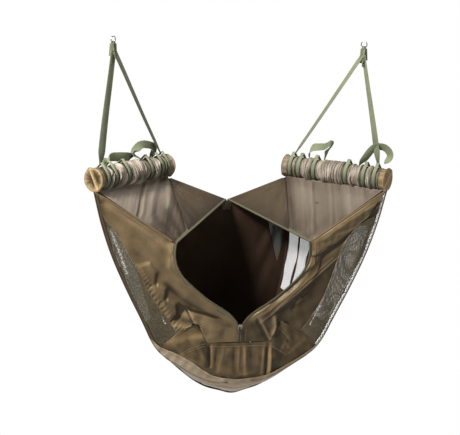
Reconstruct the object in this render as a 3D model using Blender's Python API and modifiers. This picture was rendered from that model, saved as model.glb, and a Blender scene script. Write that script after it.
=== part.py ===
"""A floating weigh sling for fish, hanging open from the rings of its two straps.

Two foam floats in gathered sleeves carry a fabric bag with mesh windows. A zip runs over the
top of the bag and down its front, and stands open. Each float has a hanging strap with a ring,
and two carrying handles.

Units are metres, +Z is up, +X is the right of the front view and +Y is away from the viewer.
The origin lies halfway between the two rings. Points of the bag are given from the middle of
the gap between the floats' front ends, at the height of the floats' axes.
"""

import math

import bmesh
import bpy
from mathutils import Matrix, Vector

# Clearances
SEAM_GAP = 0.0003
RUNNING_CLEARANCE = 0.0005
UNION_OVERLAP = 0.0008

# Floats, each a foam core in a gathered sleeve, splayed like a V seen from above
FLOAT_FRONT_HALF_SPACING = 0.421
FLOAT_LENGTH = 0.332
FLOAT_SPLAY = math.radians(42.7)
FLOAT_CORE_RADIUS = 0.0265
SLEEVE_THICKNESS = 0.0017
SLEEVE_PUFF = 0.0032
SLEEVE_PUFF_PITCH = 0.022
SLEEVE_PUFF_MARGIN = 0.0015
SLEEVE_SHORTEST_PUFF = 0.0045
SLEEVE_PUFF_SHARES = ((0.0, 0.25), (0.22, 0.85), (0.5, 1.0), (0.78, 0.85))

# Float end caps
CAP_SKIRT = 0.014
CAP_DOME = 0.006
CAP_SHOULDER_SHARE = 0.2
CAP_CROWN_SHARE = 0.5
CAP_THICKNESS = 0.0016
CAP_PIPING_RADIUS = 0.0015
CAP_FIN_HEIGHT = 0.0030
CAP_FIN_THICKNESS = 0.0030
CAP_FIN_LENGTH = 0.0070
CAP_FIN_TURN = math.radians(20.0)

# Webbing of the straps and handles
WEBBING_WIDTH = 0.025
WEBBING_THICKNESS = 0.0016
BAND_PEAK_RISE = 0.014
BAND_WIDTH = 0.016

# Hanging straps, with places along the float counted from its middle towards its front end
STRAP_LEAN = math.radians(5.9)
STRAP_FRONT_FOOT = 0.130
STRAP_REAR_FOOT = -0.139
STRAP_APEX_FORWARD = 0.047
STRAP_TOP_WIDTH = 0.012
STRAP_OVERLAP_LENGTH = 0.030
STRAP_LOOP_WIDTH = 0.008
STRAP_LOOP_HOLE_RADIUS = 0.0035
RING_AXIS_HEIGHT = 0.363

# Hanging rings
RING_RADIUS = 0.009
RING_WIRE_RADIUS = 0.0015

# Carrying handles
FRONT_HANDLE_FEET = (0.096, 0.040)
REAR_HANDLE_FEET = (-0.111, -0.062)
FRONT_HANDLE_HEIGHT = 0.072
REAR_HANDLE_HEIGHT = 0.068
HANDLE_LEAN = math.radians(-2.0)
HANDLE_ARCH_SHARES = (
    (0.0, 0.0), (0.11, 0.30), (0.22, 0.62), (0.36, 0.90), (0.5, 1.0),
    (0.64, 0.90), (0.78, 0.62), (0.89, 0.30), (1.0, 0.0),
)

# Bag fabric
FABRIC_THICKNESS = 0.0015
MESH_THICKNESS = 0.0010
CORNER_TRIM = 0.0028
RIDGE_DROP = 0.0040
COVER_SET_IN = 0.0056

# Bag outline
BAG_FRONT_DEPTH = 0.588
BAG_REAR_DEPTH = 0.590
BAG_REAR_FLARE = 0.017
BASE_SAG = 0.048
FRONT_BULGE = 0.032
FRONT_BORDER_WIDTH = 0.009
FRONT_TUCK_SHARE = 0.7
REAR_WALL_SETTLE = 0.150
FRONT_PROFILE_SHARES = (
    (0.938, 0.204), (0.866, 0.357), (0.771, 0.510), (0.664, 0.663),
    (0.551, 0.816), (0.380, 0.910), (0.200, 0.980), (0.0, 1.0),
)
REAR_PROFILE_SHARES = (
    (0.970, 0.186), (1.000, 0.339), (0.969, 0.508), (0.887, 0.661),
    (0.773, 0.780), (0.608, 0.881), (0.361, 0.963), (0.0, 1.0),
)
PROFILE_STEPS = 20
SIDE_STEPS = 13
BAG_COLUMN_SHARES = (0.0, 0.07, 0.20, 0.40, 0.60, 0.80, 0.93, 1.0)

# Side windows, counted in cells of the side panel
SIDE_WINDOW_ROWS = (3, 11)
SIDE_WINDOW_COLUMNS = (1, 3)
SAG_POWER = 4

# Front mesh window and the seams around it, as shares of the front's half width and depth
WINDOW_TOP_SHARE = 0.16
WINDOW_INNER_SHARES = (
    (0.905, 0.160), (0.725, 0.328), (0.689, 0.434), (0.592, 0.568), (0.496, 0.660), (0.423, 0.733),
)
LOWER_SEAM_SHARES = ((0.423, 0.733), (0.297, 0.687), (0.215, 0.786))
FRONT_PANEL_COLUMNS = 6
WINDOW_COLUMNS = 3
WINDOW_TIP_SHARE = 0.12
WINDOW_INNER_TIP_SHARE = 0.24
LOWER_PANEL_ROWS = 4
SEAM_CORNER_STEPS = 2
SEAM_END_STEPS = 3
LOWER_TOP_SHARES = ((0.423, 0.733), (0.297, 0.687), (0.215, 0.786), (0.110, 0.789), (0.0, 0.789))
LOWER_BOTTOM_SHARES = (0.0, 0.07, 0.17, 0.34, 0.60, 0.80, 1.0)
LOWER_CORNER_SHARE = 0.35

# Mouth of the bag, where the zip stands open
MOUTH_CORNER_HALF_WIDTH = 0.190
MOUTH_CORNER_DROP = 0.172
MOUTH_EDGE_SHARES = ((1.005, 0.19), (0.890, 0.39), (0.537, 0.645), (0.168, 0.841))
REAR_SLIDER_DROP = 0.098
REAR_SLIDER_LEAD = 0.0181
COVER_FOLD_SHARE = 0.8
BORDER_TOP_SHARE = 0.045
PANEL_TOP_SHARE = 0.058
PANEL_TIP_SHARE = 0.10
MOUTH_REAR_STEPS = 8
MOUTH_FRONT_STEPS = 10
COVER_ROWS = 8
COVER_COLUMNS = 6
WING_COLUMNS = 6
WING_TIP_SHARE = 0.06

# Rear wall columns, as shares of its half width, and its window in cells
REAR_COLUMN_SHARES = (0.0, 0.080, 0.25, 0.42, 0.56, 0.68, 0.80, 0.91, 1.0)
REAR_ROW_SHARES = (0.0, 0.075, 0.25, 0.42, 0.60, 0.80, 1.0)
REAR_WINDOW_ROWS = (2, 5)
REAR_WINDOW_COLUMNS = (4, 7)
REAR_FOOT_STEPS = PROFILE_STEPS - 2

# Zip
ZIP_TAPE_WIDTH = 0.012
ZIP_TAPE_THICKNESS = 0.0012
ZIP_HALF_SLIT = 0.0014
ZIP_COIL_RADIUS = 0.0014
ZIP_COIL_START = 0.010
ZIP_END_GAP = 0.0019
FRONT_CLOSED_LENGTH = 0.045
REAR_CLOSED_LENGTH = 0.032
TOOTH_PITCH = 0.0030
TOOTH_HEIGHT = 0.0011
TOOTH_ROOT = 0.0024
TOOTH_REACH = 0.0008
TOOTH_DEPTH = 0.0026
STOP_CLEARANCE = 0.004
STOP_WIDTH = 0.0022
STOP_HEIGHT = 0.0030

# Zip sliders and their pulls
SLIDER_LENGTH = 0.016
REAR_SLIDER_GAP = 0.0045
SLIDER_TOP_WIDTH = 0.0125
SLIDER_BOTTOM_WIDTH = 0.0090
SLIDER_NOSE_WIDTH = 0.0084
SLIDER_SHOULDER_SHARE = 0.5
SLIDER_PLATE = 0.0016
SLIDER_THROAT = 0.0034
SLIDER_POST_LENGTH = 0.0040
SLIDER_POST_WIDTH = 0.0024
BAIL_WIRE_RADIUS = 0.0009
BAIL_RADIUS = 0.0038
PULL_LENGTH = 0.021
PULL_TOP_WIDTH = 0.0060
PULL_BOTTOM_WIDTH = 0.0085
PULL_CORNER = 0.0021
PULL_THICKNESS = 0.0012
PULL_BAR = 0.0018
PULL_WINDOW_WIDTH = 0.0032
PULL_WINDOW_HEIGHT = 0.0046
PULL_STANDOFF = 0.0015

# Belly strap under the base, and the drain eyelets of the covers
BELLY_STRAP_SHARES = (0.22, 0.32)
BELLY_STRAP_INSET_STEPS = 2
EYELET_RADIUS = 0.0045
EYELET_HOLE_RADIUS = 0.0022
EYELET_THICKNESS = 0.0008
EYELET_PLACE_SHARES = {
    "left": ((0.45, 0.42),),
    "right": ((0.18, 0.40), (0.38, 0.42), (0.62, 0.38), (0.88, 0.44)),
}

# Facets
ROUND_STEPS = 24
BAND_STEPS = 16
SMALL_STEPS = 12
SMOOTH_ANGLE = math.radians(35.0)

# Sizes that follow from the ones above
SLEEVE_RADIUS = FLOAT_CORE_RADIUS + SEAM_GAP + SLEEVE_THICKNESS
BAND_INNER_RADIUS = SLEEVE_RADIUS + RUNNING_CLEARANCE
BAND_OUTER_RADIUS = BAND_INNER_RADIUS + WEBBING_THICKNESS
BAND_PEAK = BAND_OUTER_RADIUS + BAND_PEAK_RISE
SEAM_DROP = SLEEVE_RADIUS + SLEEVE_PUFF + SEAM_GAP
FLOAT_RUN = FLOAT_LENGTH * math.cos(FLOAT_SPLAY)
FLOAT_SETBACK = FLOAT_LENGTH * math.sin(FLOAT_SPLAY)
FLOAT_REAR_HALF_SPACING = FLOAT_FRONT_HALF_SPACING - FLOAT_RUN
BAG_REAR_HALF_WIDTH = FLOAT_REAR_HALF_SPACING + BAG_REAR_FLARE
REAR_SLIDER_SETBACK = FLOAT_SETBACK - REAR_SLIDER_LEAD
FRONT_ZIP_END = LOWER_TOP_SHARES[-1][1] * BAG_FRONT_DEPTH - ZIP_END_GAP
FRONT_SLIDER_DROP = FRONT_ZIP_END - FRONT_CLOSED_LENGTH
SLEEVE_HALF_LENGTH = FLOAT_LENGTH / 2 - CAP_SKIRT - CAP_DOME
BAND_FEET = (STRAP_FRONT_FOOT,) + FRONT_HANDLE_FEET + REAR_HANDLE_FEET[::-1] + (STRAP_REAR_FOOT,)

# Turns of flat outlines: across the float, and upright along it
ACROSS_FLOAT = Matrix(((0, 0, 1), (1, 0, 0), (0, 1, 0))).to_4x4()
ALONG_FLOAT = Matrix.Rotation(math.pi / 2, 4, "X")

SIDES = (("left", -1), ("right", 1))

FINISHES = {
    "foam": ((0.30, 0.30, 0.30), 0.90, 0.0),
    "sleeve_fabric": ((0.27, 0.22, 0.17), 0.80, 0.0),
    "cap_fabric": ((0.42, 0.29, 0.15), 0.60, 0.0),
    "webbing": ((0.27, 0.29, 0.17), 0.85, 0.0),
    "lining_fabric": ((0.22, 0.18, 0.14), 0.75, 0.0),
    "satin_fabric": ((0.16, 0.11, 0.055), 0.45, 0.0),
    "base_fabric": ((0.24, 0.18, 0.12), 0.60, 0.0),
    "mesh_net": ((0.07, 0.065, 0.045), 0.80, 0.0),
    "zip_tape": ((0.12, 0.12, 0.08), 0.75, 0.0),
    "zip_teeth": ((0.10, 0.09, 0.06), 0.50, 0.0),
    "plated_metal": ((0.60, 0.56, 0.50), 0.30, 1.0),
    "steel_wire": ((0.62, 0.63, 0.64), 0.25, 1.0),
    "eyelet_metal": ((0.10, 0.09, 0.07), 0.40, 1.0),
}


def clear_scene():
    """Remove what the scene already holds."""
    for obj in list(bpy.data.objects):
        bpy.data.objects.remove(obj, do_unlink=True)


def make_collection(name):
    """Make a collection in the scene."""
    collection = bpy.data.collections.new(name)
    bpy.context.scene.collection.children.link(collection)
    return collection


def finish_material(name):
    """Return the named finish as a material, made on first use."""
    material = bpy.data.materials.get(name)
    if material:
        return material
    colour, roughness, metallic = FINISHES[name]
    material = bpy.data.materials.new(name)
    material.use_nodes = True
    shader = material.node_tree.nodes["Principled BSDF"]
    shader.inputs["Base Color"].default_value = (*colour, 1.0)
    shader.inputs["Roughness"].default_value = roughness
    shader.inputs["Metallic"].default_value = metallic
    material.diffuse_color = (*colour, 1.0)
    return material


def shade(mesh):
    """Shade the mesh smooth, with sharp edges where it turns a corner."""
    mesh.shade_smooth()
    mesh.set_sharp_from_angle(angle=SMOOTH_ANGLE)


def add_object(name, mesh, collection, parent=None, finish=None):
    """Put a mesh in a collection as a named object."""
    obj = bpy.data.objects.new(name, mesh)
    collection.objects.link(obj)
    obj.parent = parent
    if finish:
        mesh.materials.append(finish_material(finish))
    return obj


def add_empty(name, collection, parent=None):
    """Add an empty that carries other objects."""
    empty = bpy.data.objects.new(name, None)
    collection.objects.link(empty)
    empty.parent = parent
    return empty


def hide_cutter(obj):
    """Mark an object as a cutter or a piece that a Boolean joins."""
    obj.hide_render = True
    obj.display_type = "WIRE"


def join(obj, piece):
    """Join another object's shape to an object."""
    boolean = obj.modifiers.new(piece.name, "BOOLEAN")
    boolean.operation = "UNION"
    boolean.object = piece
    boolean.solver = "EXACT"
    hide_cutter(piece)
    return boolean


def turned_mesh(name, profile, steps, closed=False):
    """Turn a profile of (radius, height) points about Z, outer side first from the top down."""
    mesh = bpy.data.meshes.new(name)
    points = [(radius, 0, height) for radius, height in profile]
    edges = [(i, i + 1) for i in range(len(points) - 1)]
    if closed:
        edges.append((len(points) - 1, 0))
    mesh.from_pydata(points, edges, [])
    return mesh


def add_screw(obj, steps):
    """Turn the object's profile a full round about its Z axis."""
    screw = obj.modifiers.new("turn", "SCREW")
    screw.steps = steps
    screw.render_steps = steps
    screw.use_merge_vertices = True
    screw.merge_threshold = 0.00001
    screw.use_smooth_shade = True


def outline_mesh(name, loops, thickness, turn):
    """Make a flat outline with holes into a mesh of the given thickness."""
    curve = bpy.data.curves.new(name, "CURVE")
    curve.dimensions = "2D"
    curve.fill_mode = "BOTH"
    curve.extrude = thickness / 2
    for loop in loops:
        spline = curve.splines.new("POLY")
        spline.points.add(len(loop) - 1)
        for point, (x, y) in zip(spline.points, loop):
            point.co = (x, y, 0, 1)
        spline.use_cyclic_u = True
    carrier = bpy.data.objects.new(name, curve)
    bpy.context.scene.collection.objects.link(carrier)
    return mesh_from_curve(carrier, turn)


def tube_mesh(name, points, radius, resolution, turn=Matrix.Identity(4)):
    """Make a round wire along the points into a mesh with closed ends."""
    curve = bpy.data.curves.new(name, "CURVE")
    curve.dimensions = "3D"
    curve.bevel_depth = radius
    curve.bevel_resolution = resolution
    curve.use_fill_caps = True
    spline = curve.splines.new("POLY")
    spline.points.add(len(points) - 1)
    for point, place in zip(spline.points, points):
        point.co = (*place, 1)
    carrier = bpy.data.objects.new(name, curve)
    bpy.context.scene.collection.objects.link(carrier)
    return mesh_from_curve(carrier, turn)


def mesh_from_curve(carrier, turn):
    """Turn a curve object into a welded mesh and remove the curve."""
    graph = bpy.context.evaluated_depsgraph_get()
    mesh = bpy.data.meshes.new_from_object(carrier.evaluated_get(graph))
    bpy.data.objects.remove(carrier, do_unlink=True)
    shape = bmesh.new()
    shape.from_mesh(mesh)
    bmesh.ops.remove_doubles(shape, verts=shape.verts, dist=0.00001)
    bmesh.ops.recalc_face_normals(shape, faces=shape.faces)
    shape.to_mesh(mesh)
    shape.free()
    mesh.transform(turn)
    shade(mesh)
    return mesh


def box_mesh(name, sizes, centre):
    """Make a box of the given sizes about a centre."""
    shape = bmesh.new()
    bmesh.ops.create_cube(shape, size=1)
    bmesh.ops.scale(shape, vec=sizes, verts=shape.verts)
    bmesh.ops.translate(shape, vec=centre, verts=shape.verts)
    mesh = bpy.data.meshes.new(name)
    shape.to_mesh(mesh)
    shape.free()
    return mesh


def smooth_path(points, count):
    """Return count evenly spaced points on a smooth curve through the given points."""
    fine = []
    last = len(points) - 1
    parts = 12
    for i in range(last):
        before = points[max(i - 1, 0)]
        start = points[i]
        end = points[i + 1]
        after = points[min(i + 2, last)]
        for step in range(parts):
            t = step / parts
            fine.append(0.5 * (
                2 * start
                + (end - before) * t
                + (2 * before - 5 * start + 4 * end - after) * t ** 2
                + (3 * start - before - 3 * end + after) * t ** 3
            ))
    fine.append(points[last].copy())
    return even_points(fine, count)


def even_points(line, count):
    """Return count evenly spaced points along a line of straight pieces."""
    reach = [0.0]
    for a, b in zip(line, line[1:]):
        reach.append(reach[-1] + (b - a).length)
    result = []
    index = 0
    for step in range(count):
        distance = reach[-1] * step / (count - 1)
        while index < len(line) - 2 and reach[index + 1] < distance:
            index += 1
        span = reach[index + 1] - reach[index]
        share = (distance - reach[index]) / span if span else 0.0
        result.append(line[index].lerp(line[index + 1], share))
    return result


def loft(edge_a, edge_b, columns):
    """Return rows of points between two edges that have the same number of points."""
    return [[a.lerp(b, j / columns) for j in range(columns + 1)] for a, b in zip(edge_a, edge_b)]


def pull_in(line, at_start, at_end):
    """Shorten a line of points by a distance at each end."""
    line = [point.copy() for point in line]
    line[0] += (line[1] - line[0]).normalized() * at_start
    line[-1] += (line[-2] - line[-1]).normalized() * at_end
    return line


def trim_rows(rows, start=SEAM_GAP, end=SEAM_GAP, first=SEAM_GAP, last=SEAM_GAP):
    """Pull a grid of points in from its four edges, for the seams around it."""
    rows = [pull_in(row, start, end) for row in rows]
    columns = [pull_in(list(column), first, last) for column in zip(*rows)]
    return [list(row) for row in zip(*columns)]


def add_sheet(name, rows, thickness, finish, skip=()):
    """Make fabric from a grid of points, with its thickness towards the inside of the bag."""
    width = len(rows[0])
    mesh = bpy.data.meshes.new(name)
    faces = []
    for i in range(len(rows) - 1):
        for j in range(width - 1):
            if (i, j) not in skip:
                first = i * width + j
                faces.append((first, first + 1, first + width + 1, first + width))
    mesh.from_pydata([point for row in rows for point in row], [], faces)
    shape = bmesh.new()
    shape.from_mesh(mesh)
    loose = [vert for vert in shape.verts if not vert.link_faces]
    bmesh.ops.delete(shape, geom=loose, context="VERTS")
    shape.normal_update()
    facing = sum((face.calc_center_median() - BAG_INSIDE).dot(face.normal) for face in shape.faces)
    if facing < 0:
        bmesh.ops.reverse_faces(shape, faces=shape.faces)
    shape.to_mesh(mesh)
    shape.free()
    shade(mesh)
    obj = add_object(name, mesh, sling_collection, sling_frame, finish)
    solidify = obj.modifiers.new("thickness", "SOLIDIFY")
    solidify.thickness = thickness
    solidify.offset = -1
    return obj


def mirrored(point, side):
    """Return a point of the right half on the given side."""
    return Vector((point.x * side, point.y, point.z))


def mirrored_rows(rows, side):
    """Return a grid of the right half on the given side."""
    return [[mirrored(point, side) for point in row] for row in rows]


def teardrop(radius, peak):
    """Return a circle drawn out to a peak above it, as webbing lies round a float."""
    half = math.acos(radius / peak)
    points = [(0.0, peak)]
    for step in range(BAND_STEPS + 1):
        angle = math.pi / 2 + half + (2 * math.pi - 2 * half) * step / BAND_STEPS
        points.append((radius * math.cos(angle), radius * math.sin(angle)))
    return points


def circle(radius, steps, centre_y=0.0):
    """Return a circle's points."""
    turns = [2 * math.pi * step / steps for step in range(steps)]
    return [(radius * math.cos(turn), centre_y + radius * math.sin(turn)) for turn in turns]


def band_mesh(name, foot):
    """Make the webbing that wraps a float at a place along it."""
    inner_peak = BAND_PEAK * BAND_INNER_RADIUS / BAND_OUTER_RADIUS
    loops = (teardrop(BAND_OUTER_RADIUS, BAND_PEAK), teardrop(BAND_INNER_RADIUS, inner_peak))
    mesh = outline_mesh(name, loops, BAND_WIDTH, ACROSS_FLOAT)
    mesh.transform(Matrix.Translation((foot, 0, 0)))
    return mesh


def add_float(name, side):
    """Add the empty on a float's axis, its foam core, its sleeve and its two end caps."""
    axis = add_empty(f"{name}_float_axis", sling_collection, sling_frame)
    axis.location = (side * (FLOAT_FRONT_HALF_SPACING - FLOAT_RUN / 2), FLOAT_SETBACK / 2, 0)
    axis.rotation_euler.z = -side * FLOAT_SPLAY
    lying = (0, side * math.pi / 2, 0)

    core_half = FLOAT_LENGTH / 2 - CAP_DOME - CAP_THICKNESS - SEAM_GAP
    profile = [(0, core_half), (FLOAT_CORE_RADIUS, core_half)]
    profile += [(FLOAT_CORE_RADIUS, -core_half), (0, -core_half)]
    core = add_turned(f"{name}_float_core", profile, axis, "foam")
    core.rotation_euler = lying

    bore = FLOAT_CORE_RADIUS + SEAM_GAP
    profile = sleeve_profile() + [(bore, -SLEEVE_HALF_LENGTH), (bore, SLEEVE_HALF_LENGTH)]
    sleeve = add_turned(f"{name}_float_sleeve", profile, axis, "sleeve_fabric", closed=True)
    sleeve.rotation_euler = lying

    for place, end in (("front", 1), ("rear", -1)):
        cap = add_turned(f"{name}_{place}_cap", cap_profile(), axis, "cap_fabric")
        cap.location.x = side * end * (SLEEVE_HALF_LENGTH + SEAM_GAP)
        cap.rotation_euler = (0, side * end * math.pi / 2, 0)
        fins = cap_fins_mesh(f"{name}_{place}_cap_fins")
        fins_object = add_object(fins.name, fins, cutter_collection, cap)
        fins_object.rotation_euler.z = CAP_FIN_TURN
        join(cap, fins_object)
    return axis


def add_turned(name, profile, parent, finish, closed=False):
    """Add a turned piece."""
    mesh = turned_mesh(name, profile, ROUND_STEPS, closed)
    piece = add_object(name, mesh, sling_collection, parent, finish)
    add_screw(piece, ROUND_STEPS)
    return piece


def sleeve_profile():
    """Return the sleeve's outside, gathered into puffs between the webbing bands."""
    half_band = BAND_WIDTH / 2 + SLEEVE_PUFF_MARGIN
    edges = [SLEEVE_HALF_LENGTH]
    for foot in BAND_FEET:
        edges += [foot + half_band, foot - half_band]
    edges.append(-SLEEVE_HALF_LENGTH)
    profile = [(SLEEVE_RADIUS, SLEEVE_HALF_LENGTH)]
    for top, bottom in zip(edges[::2], edges[1::2]):
        span = top - bottom
        if span < SLEEVE_SHORTEST_PUFF:
            continue
        count = max(1, round(span / SLEEVE_PUFF_PITCH))
        for puff in range(count):
            for along, height in SLEEVE_PUFF_SHARES:
                rise = 0 if puff == 0 and along == 0 else height * SLEEVE_PUFF
                profile.append((SLEEVE_RADIUS + rise, top - span * (puff + along) / count))
        profile.append((SLEEVE_RADIUS, bottom))
    profile = [profile[0]] + [point for point in profile[1:] if point[1] < SLEEVE_HALF_LENGTH - SEAM_GAP]
    profile.append((SLEEVE_RADIUS, -SLEEVE_HALF_LENGTH))
    return profile


def cap_fins_mesh(name):
    """Make the two ends of the cap's seam, which stand out from its rim."""
    base = SLEEVE_RADIUS - UNION_OVERLAP
    reach = CAP_FIN_HEIGHT + UNION_OVERLAP
    shape = bmesh.new()
    for side in (-1, 1):
        matrix = Matrix.Translation((side * (base + reach / 2), 0, CAP_SKIRT - CAP_FIN_LENGTH / 2))
        matrix = matrix @ Matrix.Diagonal((reach, CAP_FIN_THICKNESS, CAP_FIN_LENGTH, 1))
        bmesh.ops.create_cube(shape, size=1, matrix=matrix)
    mesh = bpy.data.meshes.new(name)
    shape.to_mesh(mesh)
    shape.free()
    return mesh


def cap_profile():
    """Return the profile of a domed end cap with piping round its rim."""
    outer = SLEEVE_RADIUS
    bore = FLOAT_CORE_RADIUS + SEAM_GAP
    floor = CAP_SKIRT - SEAM_GAP
    top = CAP_SKIRT + CAP_DOME
    shoulder = top - CAP_DOME * CAP_SHOULDER_SHARE
    piping = CAP_PIPING_RADIUS
    return [
        (0, top),
        (outer * CAP_CROWN_SHARE, shoulder),
        (outer - piping, CAP_SKIRT + piping),
        (outer, CAP_SKIRT + piping),
        (outer + piping, CAP_SKIRT),
        (outer, CAP_SKIRT - piping),
        (outer, 0),
        (bore, 0),
        (bore, floor - SEAM_GAP),
        (bore * CAP_CROWN_SHARE, shoulder - CAP_THICKNESS),
        (0, top - CAP_THICKNESS),
    ]


def add_hanging_strap(name, side, axis):
    """Add a strap that rises from both ends of a float to a loop for its ring."""
    front = side * STRAP_FRONT_FOOT
    rear = side * STRAP_REAR_FOOT
    apex = side * STRAP_APEX_FORWARD
    half = side * WEBBING_WIDTH / 2
    half_top = side * STRAP_TOP_WIDTH / 2
    foot_height = BAND_PEAK - BAND_PEAK * WEBBING_THICKNESS / BAND_OUTER_RADIUS + UNION_OVERLAP
    tab_top = RING_AXIS_HEIGHT - STRAP_LOOP_HOLE_RADIUS - UNION_OVERLAP
    tab_bottom = tab_top - STRAP_OVERLAP_LENGTH
    crotch = tab_bottom - STRAP_OVERLAP_LENGTH / 2
    outline = [
        (rear - half, foot_height), (rear + half, foot_height), (apex, crotch),
        (front - half, foot_height), (front + half, foot_height),
        (apex + half_top, tab_bottom), (apex + half_top, tab_top),
        (apex - half_top, tab_top), (apex - half_top, tab_bottom),
    ]
    mesh = outline_mesh(f"{name}_hanging_strap", [outline], 2 * WEBBING_THICKNESS, ALONG_FLOAT)
    strap = add_object(f"{name}_hanging_strap", mesh, sling_collection, axis, "webbing")
    strap.rotation_euler.x = -STRAP_LEAN
    for place, foot in (("front", front), ("rear", rear)):
        band = band_mesh(f"{name}_strap_{place}_band", foot)
        join(strap, add_object(band.name, band, cutter_collection, strap))
    hole = STRAP_LOOP_HOLE_RADIUS
    loops = (circle(hole + WEBBING_THICKNESS, SMALL_STEPS), circle(hole, SMALL_STEPS))
    loop = outline_mesh(f"{name}_strap_loop", loops, STRAP_LOOP_WIDTH, ACROSS_FLOAT)
    loop.transform(Matrix.Translation((apex, 0, RING_AXIS_HEIGHT)))
    join(strap, add_object(loop.name, loop, cutter_collection, strap))
    return strap


def add_ring(name, side, strap):
    """Add the ring in the strap's loop, with its origin on the bar that the loop holds."""
    section = [(RING_RADIUS + x, y) for x, y in circle(RING_WIRE_RADIUS, SMALL_STEPS)]
    section = section[::-1]
    mesh = turned_mesh(f"{name}_hanging_ring", section, ROUND_STEPS, closed=True)
    ring_axis = add_empty(f"{name}_ring_axis", sling_collection, strap)
    ring_axis.location = (side * STRAP_APEX_FORWARD, 0, RING_AXIS_HEIGHT)
    ring_axis.rotation_euler.x = STRAP_LEAN
    ring = add_object(f"{name}_hanging_ring", mesh, sling_collection, ring_axis, "steel_wire")
    ring.location.z = RING_RADIUS
    ring.rotation_euler.x = math.pi / 2
    add_screw(ring, ROUND_STEPS)
    return ring


def add_handle(name, side, axis, feet, height):
    """Add a carrying handle: two bands round the float and an arch of webbing between them."""
    outer, inner = feet
    foot_height = BAND_PEAK - BAND_PEAK * WEBBING_THICKNESS / BAND_OUTER_RADIUS + UNION_OVERLAP
    half_width = WEBBING_WIDTH / 2
    contour = []
    for width in (half_width, -half_width):
        edge = []
        for along, up in HANDLE_ARCH_SHARES:
            place = inner - width + (outer - inner + 2 * width) * (1 - along)
            edge.append(Vector((place, foot_height + (height + width - foot_height) * up)))
        edge = smooth_path(edge, ROUND_STEPS)
        contour += edge if width > 0 else edge[::-1]
    outline = [(side * point.x, point.y) for point in contour]
    mesh = outline_mesh(name, [outline], WEBBING_THICKNESS, ALONG_FLOAT)
    handle = add_object(name, mesh, sling_collection, axis, "webbing")
    handle.rotation_euler.x = -HANDLE_LEAN
    for place, foot in (("outer", outer), ("inner", inner)):
        band = band_mesh(f"{name}_{place}_band", side * foot)
        join(handle, add_object(band.name, band, cutter_collection, handle))
    return handle


def front_wall_point(across, down):
    """Return a point of the front wall from shares of its half width and its depth."""
    bulge = FRONT_BULGE * (1 - across ** 2) * (1 - FRONT_TUCK_SHARE * down ** 4)
    return Vector((across * FLOAT_FRONT_HALF_SPACING, -bulge, -down * BAG_FRONT_DEPTH))


def float_line_point(along, set_in=0.0):
    """Return a point below the right float's axis, a share of the way from front to rear."""
    start = SLEEVE_HALF_LENGTH + CAP_SKIRT
    place = start - 2 * start * along
    middle = Vector((FLOAT_FRONT_HALF_SPACING - FLOAT_RUN / 2, FLOAT_SETBACK / 2, -SEAM_DROP))
    forward = Vector((math.cos(FLOAT_SPLAY), -math.sin(FLOAT_SPLAY), 0))
    inward = Vector((-math.sin(FLOAT_SPLAY), -math.cos(FLOAT_SPLAY), 0))
    return middle + forward * place + inward * set_in


def front_profile():
    """Return the edge between the front wall and the sides and base, right half, top down."""
    top = float_line_point(0.0)
    points = [Vector((top.x, 0, top.z))]
    points += [front_wall_point(across, down) for across, down in FRONT_PROFILE_SHARES]
    return smooth_path(points, PROFILE_STEPS + 1)


def rear_profile():
    """Return the edge between the rear wall and the sides and base, right half, top down."""
    top = float_line_point(1.0)
    points = [Vector((top.x, FLOAT_SETBACK, top.z))]
    for across, down in REAR_PROFILE_SHARES:
        points.append(Vector((across * BAG_REAR_HALF_WIDTH, FLOAT_SETBACK, -down * BAG_REAR_DEPTH)))
    return smooth_path(points, PROFILE_STEPS + 1)


def body_point(step, back):
    """Return a point of the side and base fabric, from a profile step and a share of its depth."""
    low = min(int(step), PROFILE_STEPS - 1)
    share = step - low
    front = FRONT_EDGE[low].lerp(FRONT_EDGE[low + 1], share)
    rear = REAR_EDGE[low].lerp(REAR_EDGE[low + 1], share)
    down = step / PROFILE_STEPS
    outward = Vector((math.sin(FLOAT_SPLAY), math.cos(FLOAT_SPLAY), 0))
    sag = (outward * (1 - down) + Vector((0, 0, -1)) * down).normalized()
    fullness = 1 - abs(1 - 2 * back) ** SAG_POWER
    return front.lerp(rear, back) + sag * (fullness * BASE_SAG * down ** 2)


def body_rows(first_step, last_step, shares):
    """Return a grid of the side and base fabric between two steps, at the given shares of depth."""
    rows = []
    for step in range(first_step, last_step + 1):
        rows.append([body_point(step, share) for share in shares])
    return rows


def add_side(name, side):
    """Add a side panel, hung from its float, and the mesh set in its window."""
    rows = body_rows(0, SIDE_STEPS, BAG_COLUMN_SHARES)
    rows = trim_rows(rows, start=CORNER_TRIM + FABRIC_THICKNESS, end=CORNER_TRIM)
    first_row, last_row = SIDE_WINDOW_ROWS
    first_column, last_column = SIDE_WINDOW_COLUMNS
    window = [
        (i, j)
        for i in range(first_row, last_row)
        for j in range(first_column, last_column)
    ]
    add_sheet(f"{name}_side_panel", mirrored_rows(rows, side), FABRIC_THICKNESS, "satin_fabric", window)
    rows = [row[first_column:last_column + 1] for row in rows[first_row:last_row + 1]]
    add_sheet(f"{name}_side_mesh", mirrored_rows(trim_rows(rows), side), MESH_THICKNESS, "mesh_net")


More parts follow.
